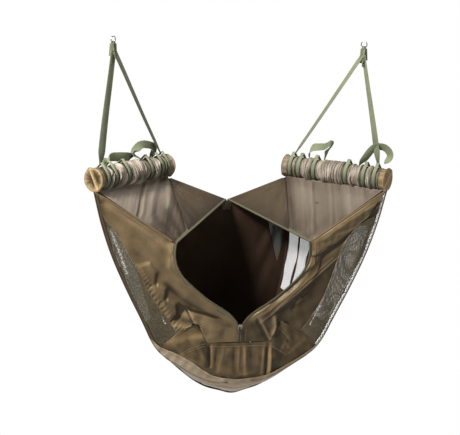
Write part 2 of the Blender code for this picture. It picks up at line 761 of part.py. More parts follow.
def add_base():
    """Add the base panel, which sags under the bag, and the belly strap that crosses it."""
    half = body_rows(SIDE_STEPS, PROFILE_STEPS, BAG_COLUMN_SHARES)
    rows = mirrored_rows(half, -1) + half[-2::-1]
    rows = trim_rows(rows, start=CORNER_TRIM, end=CORNER_TRIM)
    add_sheet("base_panel", rows, FABRIC_THICKNESS, "base_fabric")

    half = body_rows(SIDE_STEPS - BELLY_STRAP_INSET_STEPS, PROFILE_STEPS, BELLY_STRAP_SHARES)
    rows = mirrored_rows(half, -1) + half[-2::-1]
    outer = []
    lift = WEBBING_THICKNESS + SEAM_GAP * 2
    for i, row in enumerate(rows):
        ahead = rows[min(i + 1, len(rows) - 1)][0] - rows[max(i - 1, 0)][0]
        across = row[1] - row[0]
        away = ahead.cross(across).normalized()
        if away.dot(row[0] - BAG_INSIDE) < 0:
            away = -away
        outer.append([point + away * lift for point in row])
    add_sheet("belly_strap", outer, WEBBING_THICKNESS, "webbing")


def mouth_lines():
    """Return the zip's edge from the rear stop to the front stop, and the tape's outer edge.

    Both belong to the right half. The third result holds the places of the rear slider, the
    fold of the cover, the mouth's corner and the front slider in those lists.
    """
    rear = Vector((ZIP_HALF_SLIT, REAR_SLIDER_SETBACK, -REAR_SLIDER_DROP))
    across = MOUTH_CORNER_HALF_WIDTH / FLOAT_FRONT_HALF_SPACING
    corner = front_wall_point(across, MOUTH_CORNER_DROP / BAG_FRONT_DEPTH)
    drop = FRONT_SLIDER_DROP - MOUTH_CORNER_DROP
    front = [corner]
    for width_share, drop_share in MOUTH_EDGE_SHARES:
        down = (MOUTH_CORNER_DROP + drop * drop_share) / BAG_FRONT_DEPTH
        front.append(front_wall_point(across * width_share, down))
    slit = ZIP_HALF_SLIT / FLOAT_FRONT_HALF_SPACING
    front.append(front_wall_point(slit, FRONT_SLIDER_DROP / BAG_FRONT_DEPTH))
    front = smooth_path(front, MOUTH_FRONT_STEPS + 1)
    closed = front_wall_point(slit, (FRONT_SLIDER_DROP + FRONT_CLOSED_LENGTH) / BAG_FRONT_DEPTH)

    rear_closed = rear_wall_point(0.0, REAR_SLIDER_DROP + REAR_CLOSED_LENGTH)
    rear_closed.x = ZIP_HALF_SLIT
    top = [rear.lerp(corner, step / MOUTH_REAR_STEPS) for step in range(MOUTH_REAR_STEPS + 1)]
    line = [rear_closed] + top[:-1] + front + [closed]

    corner_index = MOUTH_REAR_STEPS + 1
    float_rear = float_line_point(1.0)
    cover_normal = (corner - rear).cross(float_rear - rear).normalized()
    cover_away = cover_normal.cross(corner - rear).normalized()
    if cover_away.x < 0:
        cover_away = -cover_away
    ridge = (float_line_point(0.0) - corner).normalized()
    edge = []
    for i, point in enumerate(line):
        ahead = line[min(i + 1, len(line) - 1)] - line[max(i - 1, 0)]
        if i == 0:
            away = Vector((1, 0, 0))
        elif i == 1:
            away = (float_rear - rear).normalized()
        elif i < corner_index:
            away = cover_away
        elif i == corner_index:
            away = ridge
        else:
            away = Vector((0, -1, 0)).cross(ahead)
            away = (away if away.x > 0 else -away).normalized()
        if i >= len(line) - 2:
            away = Vector((1, 0, 0))
        edge.append(point + away * ZIP_TAPE_WIDTH)
    fold = 1 + round(COVER_FOLD_SHARE * MOUTH_REAR_STEPS)
    return line, edge, (1, fold, corner_index, len(line) - 2)


def add_covers(name, side):
    """Add the cover panel that hangs from a float and the wing behind it."""
    rear, fold, corner, _ = MOUTH_PLACES
    front_end = float_line_point(0.0, COVER_SET_IN)
    rear_end = float_line_point(1.0, COVER_SET_IN)
    float_edge = [front_end.lerp(rear_end, i / COVER_ROWS) for i in range(COVER_ROWS + 1)]
    mouth_edge = even_points(TAPE_EDGE[corner:fold - 1:-1], COVER_ROWS + 1)
    rows = trim_rows(loft(float_edge, mouth_edge, COVER_COLUMNS))
    add_sheet(f"{name}_cover_panel", mirrored_rows(rows, side), FABRIC_THICKNESS, "lining_fabric")
    add_eyelets(name, side, rows)

    wing_edge = TAPE_EDGE[fold:rear - 1:-1]
    wing_tip = [rear_end.lerp(point, WING_TIP_SHARE) for point in wing_edge]
    rows = trim_rows(loft(wing_tip, wing_edge, WING_COLUMNS))
    add_sheet(f"{name}_rear_wing", mirrored_rows(rows, side), FABRIC_THICKNESS, "satin_fabric")


def add_eyelets(name, side, rows):
    """Add the drain eyelets that lie in a line across a cover panel, each its own piece."""
    for number, (along, down) in enumerate(EYELET_PLACE_SHARES[name], start=1):
        low_i = int(along * COVER_ROWS)
        low_j = int(down * COVER_COLUMNS)
        a, b = rows[low_i][low_j], rows[low_i][low_j + 1]
        c, d = rows[low_i + 1][low_j], rows[low_i + 1][low_j + 1]
        centre = mirrored((a + b + c + d) / 4, side)
        normal = mirrored((b - a).cross(c - a).normalized(), side)
        if normal.dot(centre - BAG_INSIDE) < 0:
            normal = -normal
        loops = (circle(EYELET_RADIUS, SMALL_STEPS), circle(EYELET_HOLE_RADIUS, SMALL_STEPS))
        washer = outline_mesh(f"{name}_cover_eyelet_{number}", loops, EYELET_THICKNESS, Matrix.Identity(4))
        eyelet = add_object(washer.name, washer, sling_collection, sling_frame, "eyelet_metal")
        eyelet.location = centre + normal * (EYELET_THICKNESS / 2 + 2 * SEAM_GAP)
        eyelet.rotation_euler = normal.to_track_quat("Z", "Y").to_euler()


def border_inner(step):
    """Return the inner edge of the front border at a step of the front profile."""
    point = FRONT_EDGE[step]
    ahead = FRONT_EDGE[min(step + 1, PROFILE_STEPS)] - FRONT_EDGE[max(step - 1, 0)]
    away = Vector((0, -1, 0)).cross(ahead).normalized()
    if away.x > 0:
        away = -away
    place = point + away * FRONT_BORDER_WIDTH
    across = place.x / FLOAT_FRONT_HALF_SPACING
    return front_wall_point(across, -place.z / BAG_FRONT_DEPTH)


def add_front(name, side):
    """Add the front panel beside the zip, the mesh window outside it and the border strip."""
    corner = MOUTH_PLACES[2]
    drop = Vector((0, 0, -RIDGE_DROP))
    ridge_top = float_line_point(0.0, COVER_SET_IN) + drop
    ridge_top.y = 0
    ridge_foot = pull_in(TAPE_EDGE[corner:corner + 2], RIDGE_DROP, 0)[0]
    window_step = round(WINDOW_TOP_SHARE * PROFILE_STEPS)
    border_top = ridge_top.lerp(ridge_foot, BORDER_TOP_SHARE)
    border = [border_top] + [border_inner(step) for step in range(1, SIDE_STEPS + 1)]
    panel_top = ridge_top.lerp(ridge_foot, PANEL_TOP_SHARE)
    outer_side = [border[0].lerp(border[1], PANEL_TIP_SHARE)] + border[1:window_step + 1]
    inner = [front_wall_point(across, down) for across, down in WINDOW_INNER_SHARES]
    lower = [front_wall_point(across, down) for across, down in LOWER_SEAM_SHARES[1:]]
    window_side = smooth_path([outer_side[-1]] + inner[1:], SIDE_STEPS - window_step + 1)
    seam_corner, seam_end = lower
    lower_side = even_points([window_side[-1], seam_corner], SEAM_CORNER_STEPS + 1)[1:]
    lower_side += even_points([seam_corner, seam_end], SEAM_END_STEPS + 1)[1:]
    panel_side = outer_side + window_side[1:] + lower_side
    ridge_steps = len(panel_side) - len(TAPE_EDGE) + corner
    ridge = [panel_top.lerp(ridge_foot, i / ridge_steps) for i in range(ridge_steps + 1)]
    zip_side = ridge + TAPE_EDGE[corner + 1:]
    rows = trim_rows(loft(zip_side, panel_side, FRONT_PANEL_COLUMNS))
    add_sheet(f"{name}_front_panel", mirrored_rows(rows, side), FABRIC_THICKNESS, "satin_fabric")

    mesh_outer = border[window_step:]
    mesh_inner = window_side[:len(mesh_outer)]
    mesh_inner[0] = mesh_inner[0].lerp(mesh_inner[1], WINDOW_INNER_TIP_SHARE)
    mesh_outer[0] = mesh_outer[0].lerp(mesh_outer[1], WINDOW_TIP_SHARE)
    rows = trim_rows(loft(mesh_inner, mesh_outer, WINDOW_COLUMNS))
    add_sheet(f"{name}_front_mesh", mirrored_rows(rows, side), MESH_THICKNESS, "mesh_net")

    rows = trim_rows(loft(border, FRONT_EDGE[:SIDE_STEPS + 1], 1), end=0)
    add_sheet(f"{name}_front_border", mirrored_rows(rows, side), FABRIC_THICKNESS, "satin_fabric")


def add_lower_front():
    """Add the front's lower panel, between the seam under the zip and the base."""
    top = [front_wall_point(across, down) for across, down in LOWER_TOP_SHARES]
    outer = border_inner(SIDE_STEPS)
    top = [outer, outer.lerp(top[0], LOWER_CORNER_SHARE)] + top
    bottom_edge = FRONT_EDGE[SIDE_STEPS:]
    reach = len(bottom_edge) - 1
    bottom = []
    for share in LOWER_BOTTOM_SHARES:
        low = min(int(share * reach), reach - 1)
        bottom.append(bottom_edge[low].lerp(bottom_edge[low + 1], share * reach - low))
    half = loft(top, bottom, LOWER_PANEL_ROWS)
    rows = mirrored_rows(half, -1) + half[-2::-1]
    rows = trim_rows(rows, end=0)
    add_sheet("front_lower_panel", rows, FABRIC_THICKNESS, "satin_fabric")


def rear_wall_point(share, drop):
    """Return a point of the rear wall from a share of its half width and a drop below the axes."""
    settle = min(1.0, max(0.0, (drop - REAR_SLIDER_DROP) / REAR_WALL_SETTLE))
    lead = REAR_SLIDER_LEAD * (1 - share) * (1 - settle)
    return Vector((share * BAG_REAR_HALF_WIDTH, FLOAT_SETBACK - lead, -drop))


def add_rear():
    """Add the rear wall with its slit for the zip, and the mesh in its two windows."""
    columns = []
    corner = REAR_EDGE[0]
    bottom = REAR_EDGE[::-1]
    reach = REAR_FOOT_STEPS
    last = len(REAR_COLUMN_SHARES) - 1
    for share in REAR_COLUMN_SHARES:
        top = rear_wall_point(share, REAR_SLIDER_DROP)
        top.x = corner.x * share
        top.z = -REAR_SLIDER_DROP + (corner.z + REAR_SLIDER_DROP) * share
        place = share * reach
        low = min(int(place), reach - 1)
        foot = bottom[low].lerp(bottom[low + 1], place - low)
        column = []
        for down in REAR_ROW_SHARES:
            point = top.lerp(foot, down)
            column.append(Vector((point.x, rear_wall_point(share, -point.z).y, point.z)))
        columns.append(column)
    half = [list(row) for row in zip(*columns)]
    rows = []
    for row in half:
        rows.append([mirrored(point, -1) for point in row[:0:-1]] + row)
    rows = trim_rows(rows, start=SEAM_GAP, end=SEAM_GAP, first=CORNER_TRIM)
    first_row, last_row = REAR_WINDOW_ROWS
    first_column, last_column = REAR_WINDOW_COLUMNS
    skip = [(0, last - 1), (0, last)]
    spans = (
        ("left", last - last_column, last - first_column),
        ("right", last + first_column, last + last_column),
    )
    for name, start, end in spans:
        skip += [(i, j) for i in range(first_row, last_row) for j in range(start, end)]
        patch = [row[start:end + 1] for row in rows[first_row:last_row + 1]]
        add_sheet(f"{name}_rear_mesh", trim_rows(patch), MESH_THICKNESS, "mesh_net")
    add_sheet("rear_panel", rows, FABRIC_THICKNESS, "satin_fabric", skip)


def add_zip(name, side):
    """Add one half of the zip: its tape with the closed teeth, and the coil of its open edge."""
    rear, _, _, slider = MOUTH_PLACES
    rows = [[inner, outer] for inner, outer in zip(ZIP_LINE, TAPE_EDGE)]
    tape_rows = trim_rows(rows, start=0, end=SEAM_GAP, first=0, last=0)
    tape = add_sheet(f"{name}_zip_tape", mirrored_rows(tape_rows, side), ZIP_TAPE_THICKNESS, "zip_tape")
    half_step = TOOTH_PITCH / 2 if side > 0 else 0
    count = int((FRONT_CLOSED_LENGTH - STOP_CLEARANCE) / TOOTH_PITCH) - 1
    shape = bmesh.new()
    for step in range(count):
        drop = FRONT_SLIDER_DROP + TOOTH_PITCH * (step + 1) + half_step
        place = front_wall_point(0, drop / BAG_FRONT_DEPTH)
        add_tooth(shape, side, place.y + ZIP_TAPE_THICKNESS / 2, place.z)
    rear_start = REAR_SLIDER_GAP + SLIDER_LENGTH / 2
    rear_count = int((REAR_CLOSED_LENGTH - STOP_CLEARANCE - rear_start) / TOOTH_PITCH) - 1
    for step in range(rear_count):
        drop = REAR_SLIDER_DROP + rear_start + TOOTH_PITCH * (step + 1) + half_step
        place = rear_wall_point(0, drop)
        add_tooth(shape, side, place.y - ZIP_TAPE_THICKNESS / 2, place.z)
    for place, inward in stop_places():
        centre = (side * (ZIP_HALF_SLIT + STOP_WIDTH / 2 + SEAM_GAP), place.y + inward, place.z)
        sizes = (STOP_WIDTH, TOOTH_DEPTH + UNION_OVERLAP, STOP_HEIGHT, 1)
        bmesh.ops.create_cube(shape, size=1, matrix=Matrix.Translation(centre) @ Matrix.Diagonal(sizes))
    teeth = bpy.data.meshes.new(f"{name}_closed_teeth")
    shape.to_mesh(teeth)
    shape.free()
    joined = join(tape, add_object(teeth.name, teeth, cutter_collection, sling_frame))
    joined.use_self = True

    line = pull_in(ZIP_LINE[rear:slider + 1], ZIP_COIL_START, ZIP_COIL_START)
    lifted = []
    for i, point in enumerate(line):
        ahead = line[min(i + 1, len(line) - 1)] - line[max(i - 1, 0)]
        inward = Vector((-1, 0, 0)) - ahead * (Vector((-1, 0, 0)).dot(ahead) / ahead.length_squared)
        lifted.append(point + inward.normalized() * (ZIP_COIL_RADIUS + SEAM_GAP))
    coil = tube_mesh(f"{name}_zip_coil", [mirrored(point, side) for point in lifted], ZIP_COIL_RADIUS, 1)
    add_object(f"{name}_zip_coil", coil, sling_collection, sling_frame, "zip_teeth")


def stop_places():
    """Return the places of the bottom stops at the two ends of the zip, and half the tape's depth."""
    end = FRONT_CLOSED_LENGTH - STOP_HEIGHT
    front = front_wall_point(0, (FRONT_SLIDER_DROP + end) / BAG_FRONT_DEPTH)
    rear = rear_wall_point(0, REAR_SLIDER_DROP + REAR_CLOSED_LENGTH - STOP_HEIGHT)
    return ((front, ZIP_TAPE_THICKNESS / 2), (rear, -ZIP_TAPE_THICKNESS / 2))


def add_tooth(shape, side, y, z):
    """Add one tooth of the closed zip, which reaches past the middle between its neighbours."""
    width = TOOTH_ROOT + ZIP_HALF_SLIT + TOOTH_REACH
    centre = side * (width / 2 - TOOTH_REACH)
    matrix = Matrix.Translation((centre, y, z)) @ Matrix.Diagonal((width, TOOTH_DEPTH, TOOTH_HEIGHT, 1))
    bmesh.ops.create_cube(shape, size=1, matrix=matrix)


def add_slider(name, top, bottom, facing):
    """Add a zip slider, two plates on a post with a bail, and the pull that hangs from it."""
    body = add_empty(f"{name}_slider_place", sling_collection, sling_frame)
    body.location = (top + bottom) / 2
    fall = bottom - top
    body.rotation_euler = (math.atan2(fall.y * math.cos(facing), -fall.z), 0, facing)
    half = SLIDER_LENGTH / 2
    shoulder = half * SLIDER_SHOULDER_SHARE
    outline = [
        (-SLIDER_BOTTOM_WIDTH / 2, -half), (SLIDER_BOTTOM_WIDTH / 2, -half),
        (SLIDER_TOP_WIDTH / 2, shoulder), (SLIDER_NOSE_WIDTH / 2, half),
        (-SLIDER_NOSE_WIDTH / 2, half), (-SLIDER_TOP_WIDTH / 2, shoulder),
    ]
    plate_y = (SLIDER_THROAT + SLIDER_PLATE) / 2
    mesh = outline_mesh(f"{name}_zip_slider", [outline], SLIDER_PLATE, ALONG_FLOAT)
    mesh.transform(Matrix.Translation((0, -plate_y, 0)))
    slider = add_object(f"{name}_zip_slider", mesh, sling_collection, body, "plated_metal")
    back = outline_mesh(f"{name}_slider_back", [outline], SLIDER_PLATE, ALONG_FLOAT)
    back.transform(Matrix.Translation((0, plate_y, 0)))
    back_object = add_object(back.name, back, cutter_collection, body)
    post = box_mesh(
        f"{name}_slider_post",
        (SLIDER_POST_WIDTH, SLIDER_THROAT + SLIDER_PLATE, SLIDER_POST_LENGTH),
        (0, 0, half - SLIDER_POST_LENGTH / 2 - UNION_OVERLAP),
    )
    post_object = add_object(post.name, post, cutter_collection, body)
    arch = []
    for step in range(SMALL_STEPS + 1):
        angle = math.pi * step / SMALL_STEPS
        arch.append((0, -math.sin(angle) * BAIL_RADIUS, math.cos(angle) * BAIL_RADIUS))
    arch = [(0, UNION_OVERLAP, arch[0][2])] + arch + [(0, UNION_OVERLAP, arch[-1][2])]
    bail = tube_mesh(f"{name}_slider_bail", arch, BAIL_WIRE_RADIUS, 1)
    face = SLIDER_THROAT / 2 + SLIDER_PLATE
    bail.transform(Matrix.Translation((0, -face, 0)))
    bail_object = add_object(bail.name, bail, cutter_collection, body)
    for piece in (post_object, back_object, bail_object):
        join(slider, piece)

    top = PULL_BAR / 2
    outline = [
        (-PULL_TOP_WIDTH / 2, top), (PULL_TOP_WIDTH / 2, top),
        (PULL_BOTTOM_WIDTH / 2, top - PULL_LENGTH + PULL_CORNER),
        (PULL_BOTTOM_WIDTH / 2 - PULL_CORNER, top - PULL_LENGTH),
        (PULL_CORNER - PULL_BOTTOM_WIDTH / 2, top - PULL_LENGTH),
        (-PULL_BOTTOM_WIDTH / 2, top - PULL_LENGTH + PULL_CORNER),
    ]
    window_x = PULL_WINDOW_WIDTH / 2
    window = [
        (-window_x, -top), (window_x, -top),
        (window_x, -top - PULL_WINDOW_HEIGHT), (-window_x, -top - PULL_WINDOW_HEIGHT),
    ]
    mesh = outline_mesh(f"{name}_zip_pull", (outline, window), PULL_THICKNESS, ALONG_FLOAT)
    pull = add_object(f"{name}_zip_pull", mesh, sling_collection, body, "plated_metal")
    pull.location = (0, -face - PULL_STANDOFF, 0)


clear_scene()
sling_collection = make_collection("weigh_sling")
cutter_collection = make_collection("joined_shapes")
sling_frame = add_empty("sling_frame", sling_collection)

BAG_INSIDE = Vector((0, FLOAT_SETBACK / 2, -BAG_FRONT_DEPTH / 2))
FRONT_EDGE = front_profile()
REAR_EDGE = rear_profile()
ZIP_LINE, TAPE_EDGE, MOUTH_PLACES = mouth_lines()

ring_reach = STRAP_APEX_FORWARD
ring_out = RING_AXIS_HEIGHT * math.sin(STRAP_LEAN)
ring_y = FLOAT_SETBACK / 2 - ring_reach * math.sin(FLOAT_SPLAY) + ring_out * math.cos(FLOAT_SPLAY)
ring_z = RING_AXIS_HEIGHT * math.cos(STRAP_LEAN) + RING_RADIUS
sling_frame.location = (0, -ring_y, -ring_z)

for side_name, side_sign in SIDES:
    float_axis = add_float(side_name, side_sign)
    hanging_strap = add_hanging_strap(side_name, side_sign, float_axis)
    add_ring(side_name, side_sign, hanging_strap)
    add_handle(f"{side_name}_front_handle", side_sign, float_axis, FRONT_HANDLE_FEET, FRONT_HANDLE_HEIGHT)
    rear_feet = REAR_HANDLE_FEET
    add_handle(f"{side_name}_rear_handle", side_sign, float_axis, rear_feet, REAR_HANDLE_HEIGHT)
    add_covers(side_name, side_sign)
    add_front(side_name, side_sign)
    add_side(side_name, side_sign)
    add_zip(side_name, side_sign)

add_lower_front()
add_base()
add_rear()

slider_half = SLIDER_LENGTH / 2
slider_ends = []
for drop in (FRONT_SLIDER_DROP - slider_half, FRONT_SLIDER_DROP + slider_half):
    slider_ends.append(front_wall_point(0, drop / BAG_FRONT_DEPTH) + Vector((0, ZIP_TAPE_THICKNESS / 2, 0)))
add_slider("front", *slider_ends, 0)
slider_ends = []
for drop in (REAR_SLIDER_DROP + REAR_SLIDER_GAP, REAR_SLIDER_DROP + REAR_SLIDER_GAP + SLIDER_LENGTH):
    slider_ends.append(rear_wall_point(0, drop) - Vector((0, ZIP_TAPE_THICKNESS / 2, 0)))
add_slider("rear", *slider_ends, math.pi)
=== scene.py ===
"""Looks of the floating weigh sling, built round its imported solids.

Lengths are metres. Points of the bag are given from the middle of the gap between the floats'
front ends, at the height of the floats' axes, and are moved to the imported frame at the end.
Lines of folds, tones and stitches are (x, z) points in millimetres, as seen from the front.
"""

import math

import bpy
import numpy as np
from mathutils import Matrix, Vector


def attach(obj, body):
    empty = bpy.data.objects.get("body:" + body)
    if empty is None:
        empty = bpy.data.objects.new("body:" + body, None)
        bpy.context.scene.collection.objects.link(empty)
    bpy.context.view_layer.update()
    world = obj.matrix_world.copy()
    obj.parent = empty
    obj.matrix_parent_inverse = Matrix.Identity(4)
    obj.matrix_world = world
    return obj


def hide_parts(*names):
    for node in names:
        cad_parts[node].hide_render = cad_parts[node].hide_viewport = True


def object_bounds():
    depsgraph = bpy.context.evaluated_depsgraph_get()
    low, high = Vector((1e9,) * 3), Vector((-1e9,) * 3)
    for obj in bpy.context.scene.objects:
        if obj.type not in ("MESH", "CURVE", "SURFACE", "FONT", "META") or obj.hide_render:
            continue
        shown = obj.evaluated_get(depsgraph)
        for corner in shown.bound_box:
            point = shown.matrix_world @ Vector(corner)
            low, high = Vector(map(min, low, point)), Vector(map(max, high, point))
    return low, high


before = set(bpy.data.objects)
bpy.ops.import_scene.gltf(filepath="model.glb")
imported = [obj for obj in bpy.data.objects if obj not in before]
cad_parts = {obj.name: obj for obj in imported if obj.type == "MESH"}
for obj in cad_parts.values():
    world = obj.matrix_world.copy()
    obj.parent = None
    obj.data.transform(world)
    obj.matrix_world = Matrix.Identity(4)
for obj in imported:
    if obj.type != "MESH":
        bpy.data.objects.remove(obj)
cad_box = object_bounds()
FINE = 2

# Sizes repeated from the solids
SIDES = {"left": -1, "right": 1}
BAG = "bag_and_floats"
OFFSET = np.array((0.0, -0.1081234, -0.3700771))
HALF_SPACING = 0.421
FLOAT_LENGTH = 0.332
SPLAY = math.radians(42.7)
SIN, COS = math.sin(SPLAY), math.cos(SPLAY)
SLEEVE_R = 0.0285
SLEEVE_HALF = 0.146
CAP_SKIRT = 0.014
SEAM_DROP = 0.032
BAND_OUT, BAND_PEAK, BAND_WIDTH = 0.0306, 0.0446, 0.016
WEB, WEB_THICK = 0.025, 0.0016
FEET = {"strap": (0.130, -0.139), "front": (0.096, 0.040), "rear": (-0.062, -0.111)}
SETBACK = FLOAT_LENGTH * SIN
FRONT_DEPTH, REAR_DEPTH, REAR_HALF = 0.588, 0.590, 0.194
SAG, BULGE = 0.048, 0.032
STEPS, SIDE_STEPS = 20, 13
TAPE = 0.012
HALF_SLIT = 0.0014
CORNER_X, CORNER_DROP = 0.190, 0.172
FRONT_SLIDER, REAR_SLIDER = 0.41703, 0.098
CLOSED, REAR_CLOSED = 0.045, 0.032
REAR_SETTLE = 0.0181
COVER_SET_IN = 0.0056
LEAN = math.radians(5.9)
RING_AXIS = 0.363
APEX = 0.047
MIDDLE = np.array((HALF_SPACING - FLOAT_LENGTH * COS / 2, SETBACK / 2, 0.0))
INSIDE = np.array((0.0, SETBACK / 2, -FRONT_DEPTH / 2))

# Thicknesses and details of the fabrics
FABRIC, NET = 0.0014, 0.0006
BAND_WEBBING = 0.0105
HEM_OVER_TAPE = 0.0085
SEAM_STITCH = (0.0044, 0.0030, 0.00045)
TOOTH_PITCH = 0.003
LIGHT_FROM = np.array((-0.70, -0.45, 0.55))


# Curves and grids

def run_of(line):
    """Distances along a line of straight pieces."""
    return np.concatenate([[0], np.cumsum(np.linalg.norm(np.diff(line, axis=0), axis=1))])


def finer(line, parts):
    """Points on a smooth curve through the given ones, along the first axis."""
    p = np.asarray(line, float)
    pad = np.concatenate([2 * p[:1] - p[1:2], p, 2 * p[-1:] - p[-2:-1]])
    t = np.linspace(0, len(p) - 1, (len(p) - 1) * parts + 1)
    i = np.minimum(t.astype(int), len(p) - 2)
    f = (t - i).reshape(-1, *([1] * (p.ndim - 1)))
    a, b, c, d = pad[i], pad[i + 1], pad[i + 2], pad[i + 3]
    square, cube = 2 * a - 5 * b + 4 * c - d, 3 * b - a - 3 * c + d
    return 0.5 * (2 * b + (c - a) * f + square * f ** 2 + cube * f ** 3)


def even(line, count):
    """Evenly spaced points along a line of straight pieces."""
    p = np.asarray(line, float)
    reach = run_of(p)
    s = np.linspace(0, reach[-1], count)
    return np.stack([np.interp(s, reach, p[:, k]) for k in range(p.shape[1])], 1)


def smooth_path(points, count):
    return even(finer(points, 12), count)


def at(line, t):
    """Points of an evenly spaced line at shares t."""
    line = np.asarray(line, float)
    x = np.asarray(t, float) * (len(line) - 1)
    i = np.clip(x.astype(int), 0, len(line) - 2)
    f = (x - i)[..., None]
    return line[i] * (1 - f) + line[i + 1] * f


def unit(v):
    v = np.asarray(v, float)
    return v / np.maximum(np.linalg.norm(v, axis=-1, keepdims=True), 1e-12)


def loft(a, b, columns):
    a, b = np.asarray(a, float), np.asarray(b, float)
    t = np.linspace(0, 1, columns + 1)[None, :, None]
    return a[:, None] * (1 - t) + b[:, None] * t


def upsample(grid, rows, columns, breaks=()):
    """A finer smooth grid through a coarse one, kept sharp at the rows named in breaks."""
    grid = np.asarray(grid, float)
    parts, start = [], 0
    for stop in list(breaks) + [len(grid) - 1]:
        piece = finer(grid[start:stop + 1], rows)
        parts.append(piece if not parts else piece[1:])
        start = stop
    whole = np.concatenate(parts)
    return finer(whole.transpose(1, 0, 2), columns).transpose(1, 0, 2)


def trim(rows, start=0.0003, end=0.0003, first=0.0003, last=0.0003):
    """A coarse grid pulled in from its edges, for the seams around it."""
    g = np.array(rows, float)
    g[:, 0] += unit(g[:, 1] - g[:, 0]) * start
    g[:, -1] += unit(g[:, -2] - g[:, -1]) * end
    g[0] += unit(g[1] - g[0]) * first
    g[-1] += unit(g[-2] - g[-1]) * last
    return g


def normals(grid):
    """Unit normals of a grid, pointing out of the bag."""
    n = unit(np.cross(np.gradient(grid, axis=0), np.gradient(grid, axis=1)))
    facing = ((grid - INSIDE) * n).sum(-1).mean()
    return n if facing > 0 else -n


def flip(grid, side):
    grid = np.array(grid, float)
    grid[..., 0] *= side
    return grid


def both_halves(left, right):
    """One grid from left to right, of two halves that run from their side to the middle."""
    return np.concatenate([flip(left, -1), right[-2::-1]])


def full_turn(count):
    return np.linspace(0, 2 * math.pi, count, endpoint=False)


def apart(turn, other):
    """The angle between two turns."""
    return np.abs(np.angle(np.exp(1j * (turn - other))))


def smoothstep(x, low, high):
    t = np.clip((x - low) / (high - low), 0, 1)
    return t * t * (3 - 2 * t)


def shares(grid):
    """The share across and the share down at each point of a grid."""
    return np.meshgrid(np.linspace(0, 1, grid.shape[1]), np.linspace(0, 1, grid.shape[0]))


def calm_edges(u, v, start, end, first, last):
    """One over a panel and nought at its seams, with the width of each fade."""
    across = smoothstep(u, 0, start) * smoothstep(1 - u, 0, end)
    return across * smoothstep(v, 0, first) * smoothstep(1 - v, 0, last)


def rumple(x, y, size, seed, waves=9):
    """Smooth seeded unevenness of about unit height."""
    rng = np.random.default_rng(seed)
    total = np.zeros(np.broadcast(x, y).shape)
    for _ in range(waves):
        turn, phase, scale = rng.uniform(0, 2 * math.pi), rng.uniform(0, 2 * math.pi), rng.uniform(0.7, 1.6)
        k = 2 * math.pi / (size * scale)
        total += np.sin(k * (x * math.cos(turn) + y * math.sin(turn)) + phase)
    return total / math.sqrt(waves)


def nearest(x, y, line):
    """Distance in metres from a line, and the share of the line at its nearest point."""
    line = np.asarray(line, float) / 1000
    run = run_of(line)
    best, where = np.full(x.shape, 1e9), np.zeros(x.shape)
    for a, b, start, stop in zip(line, line[1:], run, run[1:]):
        d = b - a
        t = np.clip(((x - a[0]) * d[0] + (y - a[1]) * d[1]) / (d @ d), 0, 1)
        r = np.hypot(x - a[0] - t * d[0], y - a[1] - t * d[1])
        where = np.where(r < best, (start + t * (stop - start)) / run[-1], where)
        best = np.minimum(best, r)
    return best, where


def ridge(x, y, line, width, height, power=1.35, ends=0.25):
    """A fold along a line: its height over the plane at each place."""
    away, where = nearest(x, y, line)
    fade = smoothstep(where, 0, ends) * smoothstep(1 - where, 0, ends) if ends else 1.0
    return height / 1000 * np.exp(-(away / (width / 1000)) ** power) * fade


def ridges(x, y, table):
    return sum(ridge(x, y, *row) for row in table)


def blots(x, y, table, ends=0.0):
    """Soft patches of lighter or darker tone along lines."""
    return sum(ridge(x, y, line, width, amount * 1000, 2.0, ends) for line, width, amount in table)


def inside(x, y, corners):
    """Distance in metres inside a convex outline of points in millimetres."""
    corners = np.asarray(corners, float) / 1000
    middle = corners.mean(0)
    depth = np.full(x.shape, 1e9)
    for a, b in zip(corners, np.roll(corners, -1, 0)):
        d = unit(b - a)
        n = np.array((-d[1], d[0]))
        n = n if (middle - a) @ n > 0 else -n
        depth = np.minimum(depth, (x - a[0]) * n[0] + (y - a[1]) * n[1])
    return depth


# The bag's surfaces, right half

def wall(across, down):
    """The front wall at shares of its half width and of its depth."""
    across, down = np.broadcast_arrays(np.asarray(across, float), np.asarray(down, float))
    y = -BULGE * (1 - across ** 2) * (1 - 0.7 * down ** 4)
    return np.stack([across * HALF_SPACING, y, -down * FRONT_DEPTH], -1)


def on_wall(points):
    """Points brought back to the front wall at their own place across and down."""
    return wall(points[..., 0] / HALF_SPACING, -points[..., 2] / FRONT_DEPTH)


def float_line(along, set_in=0.0):
    """The seam under a float, from its front end to its rear end."""
    start = SLEEVE_HALF + CAP_SKIRT
    place = start - 2 * start * np.asarray(along, float)[..., None]
    return MIDDLE + (0, 0, -SEAM_DROP) + place * (COS, -SIN, 0) + np.array((-SIN, -COS, 0)) * set_in


# Shares of the width and depth that the outline of the front and rear wall runs through
FRONT_SHARES = ((0.938, 0.204), (0.866, 0.357), (0.771, 0.510), (0.664, 0.663), (0.551, 0.816),
                (0.380, 0.910), (0.200, 0.980), (0.0, 1.0))
REAR_SHARES = ((0.970, 0.186), (1.000, 0.339), (0.969, 0.508), (0.887, 0.661), (0.773, 0.780),
               (0.608, 0.881), (0.361, 0.963), (0.0, 1.0))


def outline(end, y, points):
    top = float_line(end)
    return smooth_path([(top[0], y, top[2])] + points, STEPS + 1)


FRONT_EDGE = outline(0.0, 0, [wall(a, d) for a, d in FRONT_SHARES])
REAR_EDGE = outline(1.0, SETBACK, [(a * REAR_HALF, SETBACK, -d * REAR_DEPTH) for a, d in REAR_SHARES])
FRONT_FINE, REAR_FINE = finer(FRONT_EDGE, 8), finer(REAR_EDGE, 8)


